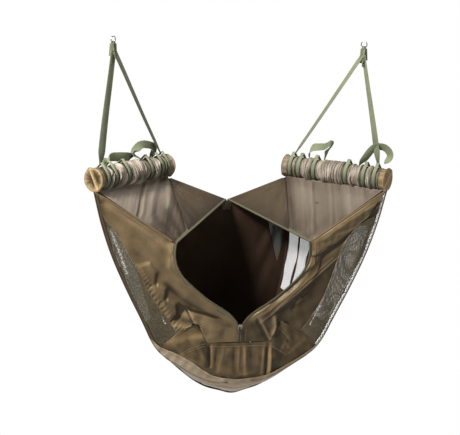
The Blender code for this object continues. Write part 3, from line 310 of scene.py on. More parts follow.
def body(step, back):
    """Side and base fabric at a profile step and a share of its depth."""
    step, back = np.broadcast_arrays(np.asarray(step, float), np.asarray(back, float))
    front, rear = at(FRONT_FINE, step / STEPS), at(REAR_FINE, step / STEPS)
    down = (step / STEPS)[..., None]
    sag = unit(np.array((SIN, COS, 0)) * (1 - down) + np.array((0, 0, -1.0)) * down)
    fullness = (1 - np.abs(1 - 2 * back) ** 4)[..., None]
    return front + (rear - front) * back[..., None] + sag * fullness * SAG * down ** 2


def rear_wall(share, drop):
    settle = min(1.0, max(0.0, (drop - REAR_SLIDER) / 0.150))
    return np.array((share * REAR_HALF, SETBACK - REAR_SETTLE * (1 - share) * (1 - settle), -drop))


def mouth():
    """The zip's edge from its rear stop to its front stop, and the outer edge of its tape."""
    rear = np.array((HALF_SLIT, SETBACK - REAR_SETTLE, -REAR_SLIDER))
    across, slit = CORNER_X / HALF_SPACING, HALF_SLIT / HALF_SPACING
    corner = wall(across, CORNER_DROP / FRONT_DEPTH)
    drop = FRONT_SLIDER - CORNER_DROP
    front = [corner]
    for w, d in ((1.005, 0.19), (0.890, 0.39), (0.537, 0.645), (0.168, 0.841)):
        front.append(wall(across * w, (CORNER_DROP + drop * d) / FRONT_DEPTH))
    front.append(wall(slit, FRONT_SLIDER / FRONT_DEPTH))
    closed = wall(slit, (FRONT_SLIDER + CLOSED) / FRONT_DEPTH)
    rear_closed = rear_wall(0.0, REAR_SLIDER + REAR_CLOSED)
    rear_closed[0] = HALF_SLIT
    top = [rear + (corner - rear) * i / 8 for i in range(8)]
    line = np.array([rear_closed] + top + list(smooth_path(front, 11)) + [closed])
    float_rear = float_line(1.0)
    away_top = unit(np.cross(np.cross(corner - rear, float_rear - rear), corner - rear))
    away_top = away_top * np.sign(away_top[0])
    edge = []
    for i, p in enumerate(line):
        if i == 0 or i >= len(line) - 2:
            away = np.array((1.0, 0, 0))
        elif i == 1:
            away = unit(float_rear - rear)
        elif i < CORNER:
            away = away_top
        elif i == CORNER:
            away = unit(float_line(0.0) - corner)
        else:
            away = unit(np.cross((0, -1, 0), line[i + 1] - line[i - 1]))
            away = away * np.sign(away[0])
        edge.append(p + away * TAPE)
    return line, np.array(edge)


# Places of the mouth's corner, of the top of the fold and of the mesh window along their lines
CORNER, FOLD, WINDOW_TOP = 9, 7, 2
ZIP_LINE, TAPE_EDGE = mouth()


def inward_from(ahead):
    """The direction along the front wall from its outline to the middle."""
    away = unit(np.cross((0.0, -1.0, 0.0), ahead))
    return np.where(away[..., :1] > 0, -away, away)


def border_inner(step):
    ahead = FRONT_EDGE[min(step + 1, STEPS)] - FRONT_EDGE[max(step - 1, 0)]
    return on_wall(FRONT_EDGE[step] + inward_from(ahead) * 0.009)


def ridge_ends():
    """The outer and inner ends of the ridge between the cover and the front panel."""
    ridge_top = float_line(0.0, COVER_SET_IN) + (0, 0, -0.004)
    ridge_top[1] = 0
    foot = TAPE_EDGE[CORNER] + unit(TAPE_EDGE[CORNER + 1] - TAPE_EDGE[CORNER]) * 0.004
    return ridge_top, foot


WINDOWS = {
    "left": ((0.836, 0.256), (0.757, 0.354), (0.682, 0.450), (0.590, 0.568), (0.496, 0.660), (0.423, 0.733)),
    "right": ((0.790, 0.225), (0.690, 0.330), (0.632, 0.450), (0.570, 0.575), (0.496, 0.665), (0.423, 0.733)),
}


def front_grids(name):
    """Coarse grids of the front panel, its mesh window and the border strip."""
    ridge_top, foot = ridge_ends()
    border = [ridge_top + (foot - ridge_top) * 0.045] + [border_inner(i) for i in range(1, SIDE_STEPS + 1)]
    panel_top = ridge_top + (foot - ridge_top) * 0.058
    outer = [border[0] + (border[1] - border[0]) * 0.10] + border[1:WINDOW_TOP + 1]
    inner = [wall(a, d) for a, d in WINDOWS[name]]
    seam_corner, seam_end = wall(0.297, 0.687), wall(0.215, 0.786)
    window = smooth_path([outer[-1]] + inner, SIDE_STEPS - WINDOW_TOP + 1)
    lower = list(even([window[-1], seam_corner], 3)[1:]) + list(even([seam_corner, seam_end], 4)[1:])
    panel_side = outer + list(window[1:]) + lower
    steps = len(panel_side) - len(TAPE_EDGE) + CORNER
    line = [panel_top + (foot - panel_top) * i / steps for i in range(steps + 1)]
    zip_side = line + list(TAPE_EDGE[CORNER + 1:])
    mesh_outer = np.array(border[WINDOW_TOP:])
    mesh_inner = np.array(window[:len(mesh_outer)])
    mesh_inner[0] += (mesh_inner[1] - mesh_inner[0]) * 0.24
    mesh_outer[0] += (mesh_outer[1] - mesh_outer[0]) * 0.12
    strip = loft(border, FRONT_EDGE[:SIDE_STEPS + 1], 1)
    return loft(zip_side, panel_side, 6), steps, loft(mesh_inner, mesh_outer, 3), strip


# Materials

def wire(tree, node, inputs):
    """Links or sets the inputs of a node."""
    for key, value in inputs.items():
        socket = node.inputs[key]
        if isinstance(value, bpy.types.NodeSocket):
            tree.links.new(value, socket)
        elif isinstance(value, tuple) and len(value) < len(socket.default_value):
            socket.default_value = (*value, 1.0)
        else:
            socket.default_value = value


def add_node(tree, kind, inputs=None, **values):
    n = tree.nodes.new(kind)
    for key, value in values.items():
        setattr(n, key, value)
    wire(tree, n, inputs or {})
    return n


def new_material(name):
    m = bpy.data.materials.new(name)
    m.use_nodes = True
    return m, m.node_tree, m.node_tree.nodes["Principled BSDF"]


def place_on(tree):
    return add_node(tree, "ShaderNodeTexCoord").outputs["Object"]


def fabric_inputs(tree):
    """The flat pattern, the place and the tone of a fabric."""
    uv = add_node(tree, "ShaderNodeUVMap", uv_map="cloth").outputs["UV"]
    tone = add_node(tree, "ShaderNodeAttribute", attribute_name="tone").outputs["Fac"]
    return uv, place_on(tree), tone


def noise(tree, vector, size, detail=3.0, rough=0.55, distort=0.0):
    inputs = {"Vector": vector, "Scale": 1 / size, "Detail": detail, "Roughness": rough,
              "Distortion": distort}
    return add_node(tree, "ShaderNodeTexNoise", inputs).outputs["Fac"]


def mix_colour(tree, factor, a, b):
    inputs = {"Factor": factor, "A": a, "B": b}
    return add_node(tree, "ShaderNodeMix", inputs, data_type="RGBA").outputs["Result"]


def maths(tree, operation, a, b, clamp=False):
    return add_node(tree, "ShaderNodeMath", {0: a, 1: b}, operation=operation, use_clamp=clamp).outputs[0]


def spread(tree, value, amount):
    """A share from 0 to 1, centred on nought and scaled."""
    return maths(tree, "MULTIPLY", maths(tree, "SUBTRACT", value, 0.5), amount)


def ramp(tree, value, low, high):
    inputs = {"Value": value, "From Min": low, "From Max": high}
    return add_node(tree, "ShaderNodeMapRange", inputs, interpolation_type="SMOOTHSTEP").outputs["Result"]


def stripes(tree, vector, pitch, axis="X", turn=0.0):
    """Smooth stripes of the given pitch along an axis of the vector."""
    inputs = {"Vector": vector, "Rotation": (0, 0, turn)}
    turned = add_node(tree, "ShaderNodeMapping", inputs).outputs["Vector"]
    inputs = {"Vector": turned, "Scale": 0.314159 / pitch}
    return add_node(tree, "ShaderNodeTexWave", inputs, bands_direction=axis).outputs["Fac"]


def bump(tree, *chain):
    """The normal after a chain of bumps of (height, strength, distance)."""
    normal = None
    for height, strength, distance in chain:
        inputs = {"Height": height, "Strength": strength, "Distance": distance}
        if normal:
            inputs["Normal"] = normal
        normal = add_node(tree, "ShaderNodeBump", inputs).outputs["Normal"]
    return normal


def srgb(*colour):
    """A colour as it is seen, from 0 to 255, as linear values."""
    return tuple(((c / 255 + 0.055) / 1.055) ** 2.4 if c > 10 else c / 255 / 12.92 for c in colour)


def times(colour, share):
    return tuple(min(1, c * share) for c in colour)


def crumpled(tree, place):
    """Flat facets with creases between them."""
    drift = add_node(tree, "ShaderNodeTexNoise").outputs["Color"]
    moved = add_node(tree, "ShaderNodeVectorMath", {0: drift, 1: (0.03, 0.03, 0.03), 2: place},
                     operation="MULTIPLY_ADD").outputs["Vector"]
    return add_node(tree, "ShaderNodeTexVoronoi", {"Scale": 1 / 0.034, "Vector": moved}).outputs["Distance"]


def cloth(name, light, dark, rough, specular, sheen=0.0, sheen_tint=(1, 1, 1), pitch=0.0007,
          crease=0.3, crease_size=0.030, aged=0.5, crumple=0.0):
    """Woven fabric with a tone of painted light and shade from its folds, fine creases and slight soiling."""
    m, t, s = new_material(name)
    uv, place, tone = fabric_inputs(t)
    light, dark = srgb(*light), srgb(*dark)
    broad, fine = noise(t, place, 0.10, 4.0, 0.6), noise(t, place, 0.012, 4.0, 0.6)
    # The tone attribute carries painted light and shade; the noise adds slight soiling
    painted_shading_and_mottle = maths(t, "ADD", tone, spread(t, broad, aged), clamp=True)
    painted_shading_and_mottle = maths(t, "ADD", painted_shading_and_mottle, spread(t, fine, aged * 0.5), clamp=True)
    weave = maths(t, "MULTIPLY", stripes(t, uv, pitch, "X"), stripes(t, uv, pitch, "Y"))
    gaps = maths(t, "MULTIPLY", weave, 0.22)
    creases = noise(t, place, crease_size, 5.0, 0.62, 0.6)
    small = noise(t, place, crease_size * 0.22, 3.0, 0.6, 0.4)
    chain = ((creases, crease, 0.006), (small, crease * 0.6, 0.0012), (weave, 0.35, pitch * 0.3))
    if crumple:
        chain = ((crumpled(t, place), crumple, 0.006),) + chain
    wire(t, s, {
        "Base Color": mix_colour(t, gaps, mix_colour(t, painted_shading_and_mottle, dark, light), times(dark, 0.62)),
        "Roughness": maths(t, "ADD", maths(t, "MULTIPLY", fine, 0.16), rough - 0.08),
        "Specular IOR Level": specular, "Specular Tint": (1.0, 0.86, 0.66),
        "Sheen Weight": sheen, "Sheen Roughness": 0.4, "Sheen Tint": sheen_tint,
        "Normal": bump(t, *chain),
    })
    return m


def webbing_material(name, light, dark):
    """Flat woven webbing: ribs across its width, and a slight fuzz."""
    m, t, s = new_material(name)
    uv, place, tone = fabric_inputs(t)
    light, dark = srgb(*light), srgb(*dark)
    weave = maths(t, "MULTIPLY", stripes(t, uv, 0.0022, "Y"), stripes(t, uv, 0.0011, "X"))
    # The tone carries painted light and shade, with a random unevenness added
    painted_shading_and_mottle = maths(t, "ADD", tone, spread(t, noise(t, place, 0.05, 4.0, 0.6), 0.5), clamp=True)
    gaps = maths(t, "MULTIPLY", weave, 0.35)
    wire(t, s, {
        "Base Color": mix_colour(t, gaps, mix_colour(t, painted_shading_and_mottle, dark, light), times(dark, 0.5)),
        "Roughness": 0.82, "Specular IOR Level": 0.25,
        "Sheen Weight": 0.12, "Sheen Roughness": 0.5, "Sheen Tint": (0.8, 0.85, 0.7),
        "Normal": bump(t, (noise(t, place, 0.004, 3.0), 0.2, 0.0004), (weave, 0.6, 0.0004)),
    })
    return m


def net_material(name, thread, pitch, width, speckle=0.0, soft=0.12):
    """Open diamond net: threads where the pattern is, clear between them, closed up in specks."""
    m, t, s = new_material(name)
    uv, place, tone = fabric_inputs(t)
    thread = srgb(*thread)
    diagonals = [stripes(t, uv, pitch, "X", math.radians(turn)) for turn in (35, -35)]
    threads = maths(t, "MAXIMUM", *diagonals)
    alpha = ramp(t, threads, 1.0 - width - soft, 1.0 - width + soft)
    if speckle:
        clogged = ramp(t, noise(t, uv, 0.0036, 2.0, 0.7), speckle - 0.06, speckle + 0.02)
        alpha = maths(t, "MAXIMUM", alpha, clogged)
    patches = noise(t, place, 0.06, 4.0, 0.6)
    colour = mix_colour(t, patches, times(thread, 0.6), times(thread, 1.5))
    # Painted highlight: where the tone is high, threads turn white in flecks, as glints
    flecks = spread(t, noise(t, uv, 0.0030, 2.0, 0.6), 1.5)
    shine = ramp(t, maths(t, "ADD", tone, flecks), 0.78, 0.92)
    wire(t, s, {
        "Base Color": mix_colour(t, shine, colour, (0.86, 0.85, 0.82)), "Alpha": alpha,
        "Roughness": 0.55, "Specular IOR Level": 0.5, "Normal": bump(t, (threads, 0.6, 0.0006)),
    })
    return m


def metal_material(name, colour, rough, size=0.004):
    """Plated metal with a cast grain and handling marks."""
    m, t, s = new_material(name)
    place, colour = place_on(t), srgb(*colour)
    marks = noise(t, place, size * 3, 4.0, 0.7, 1.0)
    wire(t, s, {
        "Base Color": mix_colour(t, marks, times(colour, 0.72), colour), "Metallic": 1.0,
        "Roughness": maths(t, "ADD", maths(t, "MULTIPLY", marks, 0.2), rough - 0.1),
        "Normal": bump(t, (noise(t, place, size, 4.0), 0.12, 0.0002)),
    })
    return m


PALE, GOLD = (1, 0.95, 0.88), (1, 0.9, 0.7)
MAT = {
    "sleeve": cloth("sleeve_fabric", (198, 184, 166), (38, 30, 23), 0.52, 0.45, 0.12, PALE,
                    crease=0.4, crease_size=0.016, aged=0.25),
    "cap": cloth("cap_fabric", (184, 156, 114), (58, 48, 28), 0.45, 0.45, 0.10, GOLD,
                 crease_size=0.016, aged=0.25, crumple=0.2),
    "cap_rear": cloth("cap_fabric_rear", (176, 158, 134), (70, 56, 42), 0.50, 0.45, 0.10, PALE,
                      crease=0.4, crease_size=0.014, aged=0.25),
    "cover": cloth("lining_fabric", (146, 133, 119), (58, 47, 36), 0.48, 0.45, 0.10, (1, 0.95, 0.9),
                   crease=0.25, crease_size=0.035, aged=0.15, crumple=0.12),
    "satin": cloth("satin_fabric", (146, 123, 89), (42, 33, 21), 0.38, 0.42, 0.04, GOLD,
                   crease=0.36, crease_size=0.026, aged=0.08, crumple=0.32),
    # The wing's brown is the duller inside face of the satin, made darker still as painted shade; it is also
    # used for the left edge strip and the edge piping
    "wing": cloth("wing_fabric", (76, 63, 46), (34, 26, 18), 0.48, 0.40, 0.08, (1, 0.9, 0.8),
                  crease=0.2, crease_size=0.045, aged=0.15),
    "lower": cloth("lower_fabric", (148, 122, 84), (42, 33, 21), 0.36, 0.42, 0.04, GOLD,
                   crease=0.34, crease_size=0.024, aged=0.08, crumple=0.22),
    "base": cloth("base_fabric", (186, 166, 140), (66, 54, 40), 0.38, 0.55, 0.1, (1, 0.92, 0.8),
                  crease_size=0.035, aged=0.2, crumple=0.40),
    "dark": cloth("coated_lining", (80, 60, 47), (34, 25, 19), 0.60, 0.15, crease=0.15, crease_size=0.04),
    "tape": cloth("zip_tape_weave", (112, 107, 86), (60, 57, 43), 0.75, 0.25, 0.1, pitch=0.0009, crease=0.05),
    "thread": cloth("stitch_thread", (176, 160, 124), (120, 104, 74), 0.7, 0.3, 0.1, pitch=0.0004,
                    crease=0.0),
    "webbing": webbing_material("webbing_weave", (150, 155, 122), (62, 70, 52)),
    "net": net_material("mesh_net", (82, 73, 52), 0.0026, 0.45, 0.58, 0.42),
    "net_open": net_material("mesh_net_open", (96, 92, 76), 0.0030, 0.16),
    "net_rim": net_material("mesh_net_rim", (120, 112, 92), 0.0060, 0.50),
    "net_dark": net_material("mesh_net_dark", (52, 50, 40), 0.0030, 0.90),
    "net_pale": net_material("mesh_net_pale", (196, 194, 192), 0.0030, 0.20),
    "teeth": metal_material("zip_teeth", (104, 98, 76), 0.5, 0.002),
    "plated": metal_material("plated_metal", (190, 180, 164), 0.34),
    "worn": metal_material("worn_metal", (92, 86, 74), 0.45),
    "steel": metal_material("steel_wire", (214, 215, 214), 0.25),
    "eyelet": metal_material("eyelet_metal", (96, 88, 74), 0.4),
}


# Pieces

def make(name, verts, faces, material, rides=BAG, nodes=(), uv=None, tone=0.5, second=None):
    """A named mesh piece that rides on a body and stands for CAD nodes."""
    mesh = bpy.data.meshes.new(name)
    v = np.asarray(verts, float).reshape(-1, 3) + OFFSET
    mesh.from_pydata([tuple(p) for p in v], [], [tuple(f) for f in faces])
    mesh.shade_smooth()
    layer = mesh.uv_layers.new(name="cloth")
    if uv is not None:
        loops = np.empty(len(mesh.loops), int)
        mesh.loops.foreach_get("vertex_index", loops)
        layer.data.foreach_set("uv", np.asarray(uv, float).reshape(-1, 2)[loops].ravel())
    tones = np.broadcast_to(np.clip(np.asarray(tone, float).ravel(), 0, 1), len(v))
    mesh.attributes.new("tone", "FLOAT", "POINT").data.foreach_set("value", tones)
    mesh.materials.append(MAT[material])
    if second:
        mesh.materials.append(MAT[second])
    obj = bpy.data.objects.new(name, mesh)
    bpy.context.scene.collection.objects.link(obj)
    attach(obj, rides)
    if nodes:
        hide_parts(*nodes)
    return obj


def thicken(obj, thickness):
    solid = obj.modifiers.new("thickness", "SOLIDIFY")
    solid.thickness = thickness
    solid.offset = -1
    return solid


def grid_faces(rows, columns, closed=False):
    i, j = np.meshgrid(np.arange(rows - 1), np.arange(columns if closed else columns - 1), indexing="ij")
    k = (j + 1) % columns
    low, high = i * columns, (i + 1) * columns
    return np.stack([low + j, low + k, high + k, high + j], -1).reshape(-1, 4)


def lengths(grid):
    """Distances along the rows and columns of a grid, as a flat pattern of the cloth."""
    across = np.linalg.norm(np.diff(grid, axis=1), axis=2).mean(0)
    down = np.linalg.norm(np.diff(grid, axis=0), axis=2).mean(1)
    u, v = (np.concatenate([[0], np.cumsum(d)]) for d in (across, down))
    return np.stack(np.meshgrid(u, v), -1)


def area_of(grid):
    a = np.cross(grid[1:, :-1] - grid[:-1, :-1], grid[:-1, 1:] - grid[:-1, :-1])
    b = np.cross(grid[1:, :-1] - grid[1:, 1:], grid[:-1, 1:] - grid[1:, 1:])
    return (np.linalg.norm(a, axis=2) + np.linalg.norm(b, axis=2)).sum() / 2


def valley(lift):
    """Painted highlight on folds and painted shade in hollows, from the height of the fabric over its
    surroundings.
    """
    soft = lift.copy()
    for _ in range(30):
        soft[1:-1] = (soft[:-2] + 2 * soft[1:-1] + soft[2:]) / 4
        soft[:, 1:-1] = (soft[:, :-2] + 2 * soft[:, 1:-1] + soft[:, 2:]) / 4
    return lift - soft


LAID_OUT = []


def panel(name, grid, lift, nodes=(), material="satin", second="dark", slot="satin_fabric", tone=0.5,
          depth_tone=60.0, thickness=FABRIC, skip=None, rests=(), facing=0.0):
    """A fabric panel: a fine grid, lifted along its normals, with a thickness to the inside."""
    n = normals(grid)
    lift = np.broadcast_to(np.asarray(lift, float), grid.shape[:2])
    grid = grid + n * lift[..., None]
    # Painted light: how far each facet of the folds turns toward the key lamp's direction
    turned = (normals(grid) - n) @ LIGHT_FROM
    faces = grid_faces(*grid.shape[:2])
    area = area_of(grid)
    if skip is not None:
        faces = faces[~skip.reshape(-1)]
        area *= 1 - skip.mean()
    out = np.cross(grid[1, 0] - grid[0, 0], grid[0, 1] - grid[0, 0])
    if out @ n[0, 0] > 0:
        faces = faces[:, ::-1]
    if facing:
        LAID_OUT.append((grid.reshape(-1, 3), normals(grid).reshape(-1, 3)))
    # Painted light and shade in the tone: lighter on folds and darker in hollows, and facets lighter or
    # darker as they turn toward or away from the key lamp
    tones = tone + valley(lift) * depth_tone + facing * turned
    obj = make(name, grid, faces, material, BAG, nodes, lengths(grid), tones, second)
    solid = thicken(obj, thickness)
    if second:
        solid.material_offset = 1


def net(name, grid, lift, material, nodes=(), **tones):
    panel(name, grid, lift, nodes, material, None, "mesh_net", thickness=NET, **tones)


def swept(points, path, pattern, closed=False):
    """Faces and flat pattern of a section that runs along a path."""
    rows, columns = points.shape[:2]
    faces = [tuple(f) for f in grid_faces(rows, columns, closed=True)]
    last = (rows - 1) * columns
    if closed:
        faces += [(last + j, last + (j + 1) % columns, (j + 1) % columns, j) for j in range(columns)]
    else:
        faces += [tuple(range(columns))[::-1], tuple(last + j for j in range(columns))]
    return faces, np.stack(np.broadcast_arrays(pattern[None, :], run_of(path)[:, None]), -1)


def ribbon(name, path, across, width, rides, nodes=(), tone=0.5):
    """A strip of webbing along a path, lying across the given directions, with rounded edges."""
    ahead = unit(np.gradient(path, axis=0))
    across = unit(np.broadcast_to(across, path.shape))
    across = unit(across - ahead * (across * ahead).sum(1, keepdims=True))
    face = np.cross(ahead, across)
    width = np.broadcast_to(width, len(path))
    turns = full_turn(8) + math.pi / 8
    wide = np.sign(np.cos(turns)) * (0.5 - 0.06 * (1 - np.abs(np.cos(turns))))
    high = np.sin(turns) * 0.54 * WEB_THICK
    points = path[:, None] + across[:, None] * (wide * width[:, None])[..., None]
    points = points + face[:, None] * high[None, :, None]
    faces, uv = swept(points, path, wide * width.mean())
    tones = np.broadcast_to(np.asarray(tone, float)[..., None], points.shape[:2])
    make(name, points, faces, "webbing", rides, nodes, uv, tones)


def tube(name, path, radius, material, sides=8, closed=False, nodes=()):
    """A round wire or cord along a path."""
    path = np.asarray(path, float)
    ahead = unit(np.roll(path, -1, 0) - np.roll(path, 1, 0) if closed else np.gradient(path, axis=0))
    seed = np.array((0.0, 0.0, 1.0)) if abs(ahead[0, 2]) < 0.9 else np.array((1.0, 0, 0))
    frames, u = [], unit(np.cross(ahead[0], seed))
    for d in ahead:
        u = unit(u - d * (u @ d))
        frames.append(u)
    u = np.array(frames)
    v = np.cross(ahead, u)
    turn = full_turn(sides)
    ring = u[:, None] * np.cos(turn)[None, :, None] + v[:, None] * np.sin(turn)[None, :, None]
    points = path[:, None] + radius * ring
    faces, uv = swept(points, path, turn * radius, closed)
    make(name, points, faces, material, BAG, nodes, uv)


def stitches(name, line, normal, pitch=0.0034, length=0.0022, radius=0.00032):
    """A row of stitches along a line on the fabric."""
    total = run_of(line)[-1]
    count = max(2, int(total / pitch))
    fine = even(line, max(len(line) * 3, count * 3))
    outward = unit(even(np.concatenate([line, normal], 1), len(fine))[:, 3:])
    rise = np.array((-0.2, 0.8, 0.8, -0.2)) * radius + 0.0004
    verts, faces = [], []
    for start in np.linspace(0, 1 - length / total, count):
        t = np.linspace(start, start + length / total, 4)
        p, n = at(fine, t), unit(at(outward, t))
        side = unit(np.cross(n, unit(p[-1] - p[0])))
        base = len(verts)
        for k in range(4):
            c = p[k] + n[k] * rise[k]
            verts += [c + side[k] * radius, c + n[k] * radius, c - side[k] * radius, c - n[k] * radius]
        faces += [tuple(f + base) for f in grid_faces(4, 4, closed=True)]
        faces += [(base + 3, base + 2, base + 1, base), (base + 12, base + 13, base + 14, base + 15)]
    make(name, verts, faces, "thread")


# Floats

def float_point(side, along, out, up):
    """Points round a float: along its axis to the front, out from the bag, and up."""
    along, out, up = np.broadcast_arrays(*(np.asarray(v, float) for v in (along, out, up)))
    x = MIDDLE[0] + along * COS + out * SIN
    y = MIDDLE[1] - along * SIN + out * COS
    return np.stack([side * x, y, up], -1)


def float_vector(side, along, out, up):
    return float_point(side, along, out, up) - float_point(side, 0, 0, 0)


def round_float(side, along, radius, turn):
    return float_point(side, along, radius * np.cos(turn), radius * np.sin(turn))


BAND_PLACES = sorted(p for feet in FEET.values() for p in feet)
# The strap legs' width seen from above, in degrees, at the foot and at the top
STRAP_TURNS = {
    "left": {"front": (32, 50), "rear": (69, 59)},
    "right": {"front": (-63, -86), "rear": (-94, -84)},
}
# Stations of the handles' loops: along, up and out in millimetres, then the direction of the
# webbing's width along, up and out
HANDLE_STATIONS = {
    "left_front": (
        (103, 28, 14, -0.97, -0.05, 0.22), (94, 41, 16, -0.97, 0.23, -0.04), (73, 49, 16, -0.68, 0.71, -0.16),
        (47, 48, 14, -0.33, 0.94, 0.11), (19, 45, 12, -0.33, 0.93, 0.19), (-6, 41, 14, -0.62, 0.79, 0.05),
        (-22, 35, 20, -0.94, 0.33, -0.06), (-14, 31, 27, -1.0, 0.08, -0.03), (13, 29, 27, -0.99, 0.01, 0.13),
        (37, 28, 20, -0.97, -0.05, 0.22)),
    "left_rear": (
        (-58, 28, 6, -0.85, -0.20, 0.50), (-39, 36, 4, -0.82, -0.15, 0.54), (-26, 42, 3, -0.80, -0.1, 0.56),
        (-15, 50, 5, -0.86, 0.05, 0.48), (-30, 60, 9, -0.50, 0.50, 0.70), (-52, 69, 12, -0.54, 0.54, 0.65),
        (-76, 69, 13, -0.69, 0.57, 0.45), (-103, 63, 14, -0.79, 0.47, 0.4), (-122, 54, 16, -0.99, 0.11, 0.13),
        (-122, 42, 18, -0.97, -0.24, -0.07), (-111, 33, 18, -0.94, -0.29, 0.19),
        (-106, 27, 16, -0.92, -0.26, 0.29)),
    "right_rear": (
        (-98, 26, 20, -0.29, -0.06, 0.96), (-100, 37, 21, -0.24, 0.13, 0.96),
        (-97, 50, 20, -0.29, 0.47, 0.83),
        (-84, 61, 14, -0.34, 0.71, 0.61), (-65, 65, 12, -0.39, 0.68, 0.62), (-48, 68, 12, -0.33, 0.63, 0.7),
        (-33, 77, 14, -0.06, 0.61, 0.79), (-28, 75, 20, 0.01, 0.51, 0.86), (-36, 65, 26, 0.06, 0.22, 0.97),
        (-46, 53, 26, 0.06, 0.03, 1.0), (-48, 39, 22, -0.21, -0.13, 0.97), (-47, 28, 14, -0.23, -0.2, 0.95)),
    "right_front": (
        (68, 28, 10, -0.2, -0.33, 0.92), (75, 38, 9, 0.08, -0.42, 0.9), (85, 51, 8, 0.33, -0.51, 0.8),
        (101, 74, 8, 0.31, -0.64, 0.71), (114, 86, 10, 0.04, -0.84, 0.55), (129, 89, 12, -0.18, -0.86, 0.48),
        (144, 86, 14, -0.52, -0.79, 0.33), (156, 74, 16, -0.88, -0.4, 0.24), (156, 60, 18, -0.92, -0.01, 0.4),
        (147, 48, 18, -0.78, 0.11, 0.61), (143, 41, 16, -0.72, -0.04, 0.7)),
}


# The piped rim of a cap: place along the float, rise over the skirt, tone, lightest on the crest of the rim
# as a painted highlight
PIPED_RIM = ((0.0138, 0.0014, 0.75), (0.0158, 0.0022, 1.0), (0.0174, 0.0016, 0.95), (0.0180, 0.0004, 0.8))
# The two ends of a strap's webbing under its ring: number, shift along and up, turn, length
TOP_FOLDS = ((1, 0.002, 0.0018, 0.6, 0.034), (2, -0.002, -0.0022, -0.7, 0.042))


def room_for_handles(name, x):
    """How far the folds may rise along a float, under the handles that swing round it."""
    room = np.ones_like(x)
    for place in ("front", "rear"):
        for along, up, out in finer(np.array(HANDLE_STATIONS[f"{name}_{place}"])[:, :3] / 1000, 6):
            beside = smoothstep(np.abs(x - along), 0.0075, 0.0115)
            room = np.minimum(room, math.hypot(up, out) - 0.0034 - SLEEVE_R + beside)
    return np.maximum(room, 0.0003)


def add_sleeve(name):
    """The gathered sleeve: fine folds round the foam, pinched flat under each band."""
    side, left = SIDES[name], name == "left"
    seed, pitch, wander = (3, 0.0088, 1.0) if left else (8, 0.0078, 0.6)
    rows, columns = 190 * FINE, 72 * FINE
    x = np.linspace(-SLEEVE_HALF, SLEEVE_HALF, rows)[:, None]
    turn = full_turn(columns)[None, :]
    arc = 0.03 * turn
    free = smoothstep(SLEEVE_HALF - np.abs(x), 0.0, 0.006)
    for place in BAND_PLACES:
        free = free * smoothstep(np.abs(x - place), BAND_WIDTH / 2 - 0.0005, BAND_WIDTH / 2 + 0.006)
    drift = wander * (0.0030 * rumple(x, arc, 0.05, seed) + 0.0026 * np.sin(turn * 2 + 90 * x))
    drift = drift + 0.0012 * np.sin(3 * turn + 40 * x + seed)
    coarse = np.abs(np.sin(math.pi * (x + drift) / pitch)) ** 1.3
    fine_drift = drift * 1.3 + 0.002 * rumple(x, arc, 0.03, seed + 1)
    fine = np.abs(np.sin(math.pi * (x + fine_drift) / 0.0058))
    patch = np.clip(0.6 + 0.4 * rumple(x, arc, 0.05, seed + 2), 0.1, 1.2)
    folds = free * (0.0002 + 0.0050 * coarse * (0.5 + 0.5 * patch) + 0.0024 * fine * patch)
    folds = folds + (1 - free) * 0.0006 * fine
    under = np.exp(-(apart(turn, -math.pi / 2) / 0.5) ** 2)
    lift = np.minimum(folds + 0.0022 * under * (0.4 + 0.6 * coarse), 0.0078)
    lift = np.minimum(lift, room_for_handles(name, x))
    slide = 0.0012 * np.sin(2 * math.pi * (x + drift) / 0.0115) * free
    points = round_float(side, x + slide, SLEEVE_R - 0.0004 + lift, turn)
    inner = round_float(side, x, SLEEVE_R - 0.0016, turn)
    n = rows * columns
    outer_faces = grid_faces(rows, columns, closed=True)
    faces = [tuple(f[::side]) for f in outer_faces] + [tuple((f + n)[::-side]) for f in outer_faces]
    for j in range(columns):
        k = (j + 1) % columns
        faces += [(j, k, k + n, j + n)[::side], tuple(v + n - columns for v in (j, j + n, k + n, k))[::side]]
    uv = np.stack(np.broadcast_arrays(x * 1.6, turn * SLEEVE_R), -1).reshape(-1, 2)
    # Painted light and shade: lighter on the crests of the gathers, darker in their hollows and in the
    # pinched grooves under the bands; patch adds a random unevenness
    tone = (0.42 if left else 0.46) + (folds - 0.0034) * (150 if left else 85)
    tone = (tone + 0.08 * patch - 0.2 * (1 - free)).ravel()
    verts = np.concatenate([points.reshape(-1, 3), inner.reshape(-1, 3)])
    obj = make(f"{name}_gathered_sleeve", verts, faces, "sleeve", BAG, (f"{name}_float_sleeve",),
               np.concatenate([uv, uv]), np.concatenate([tone, tone * 0]))


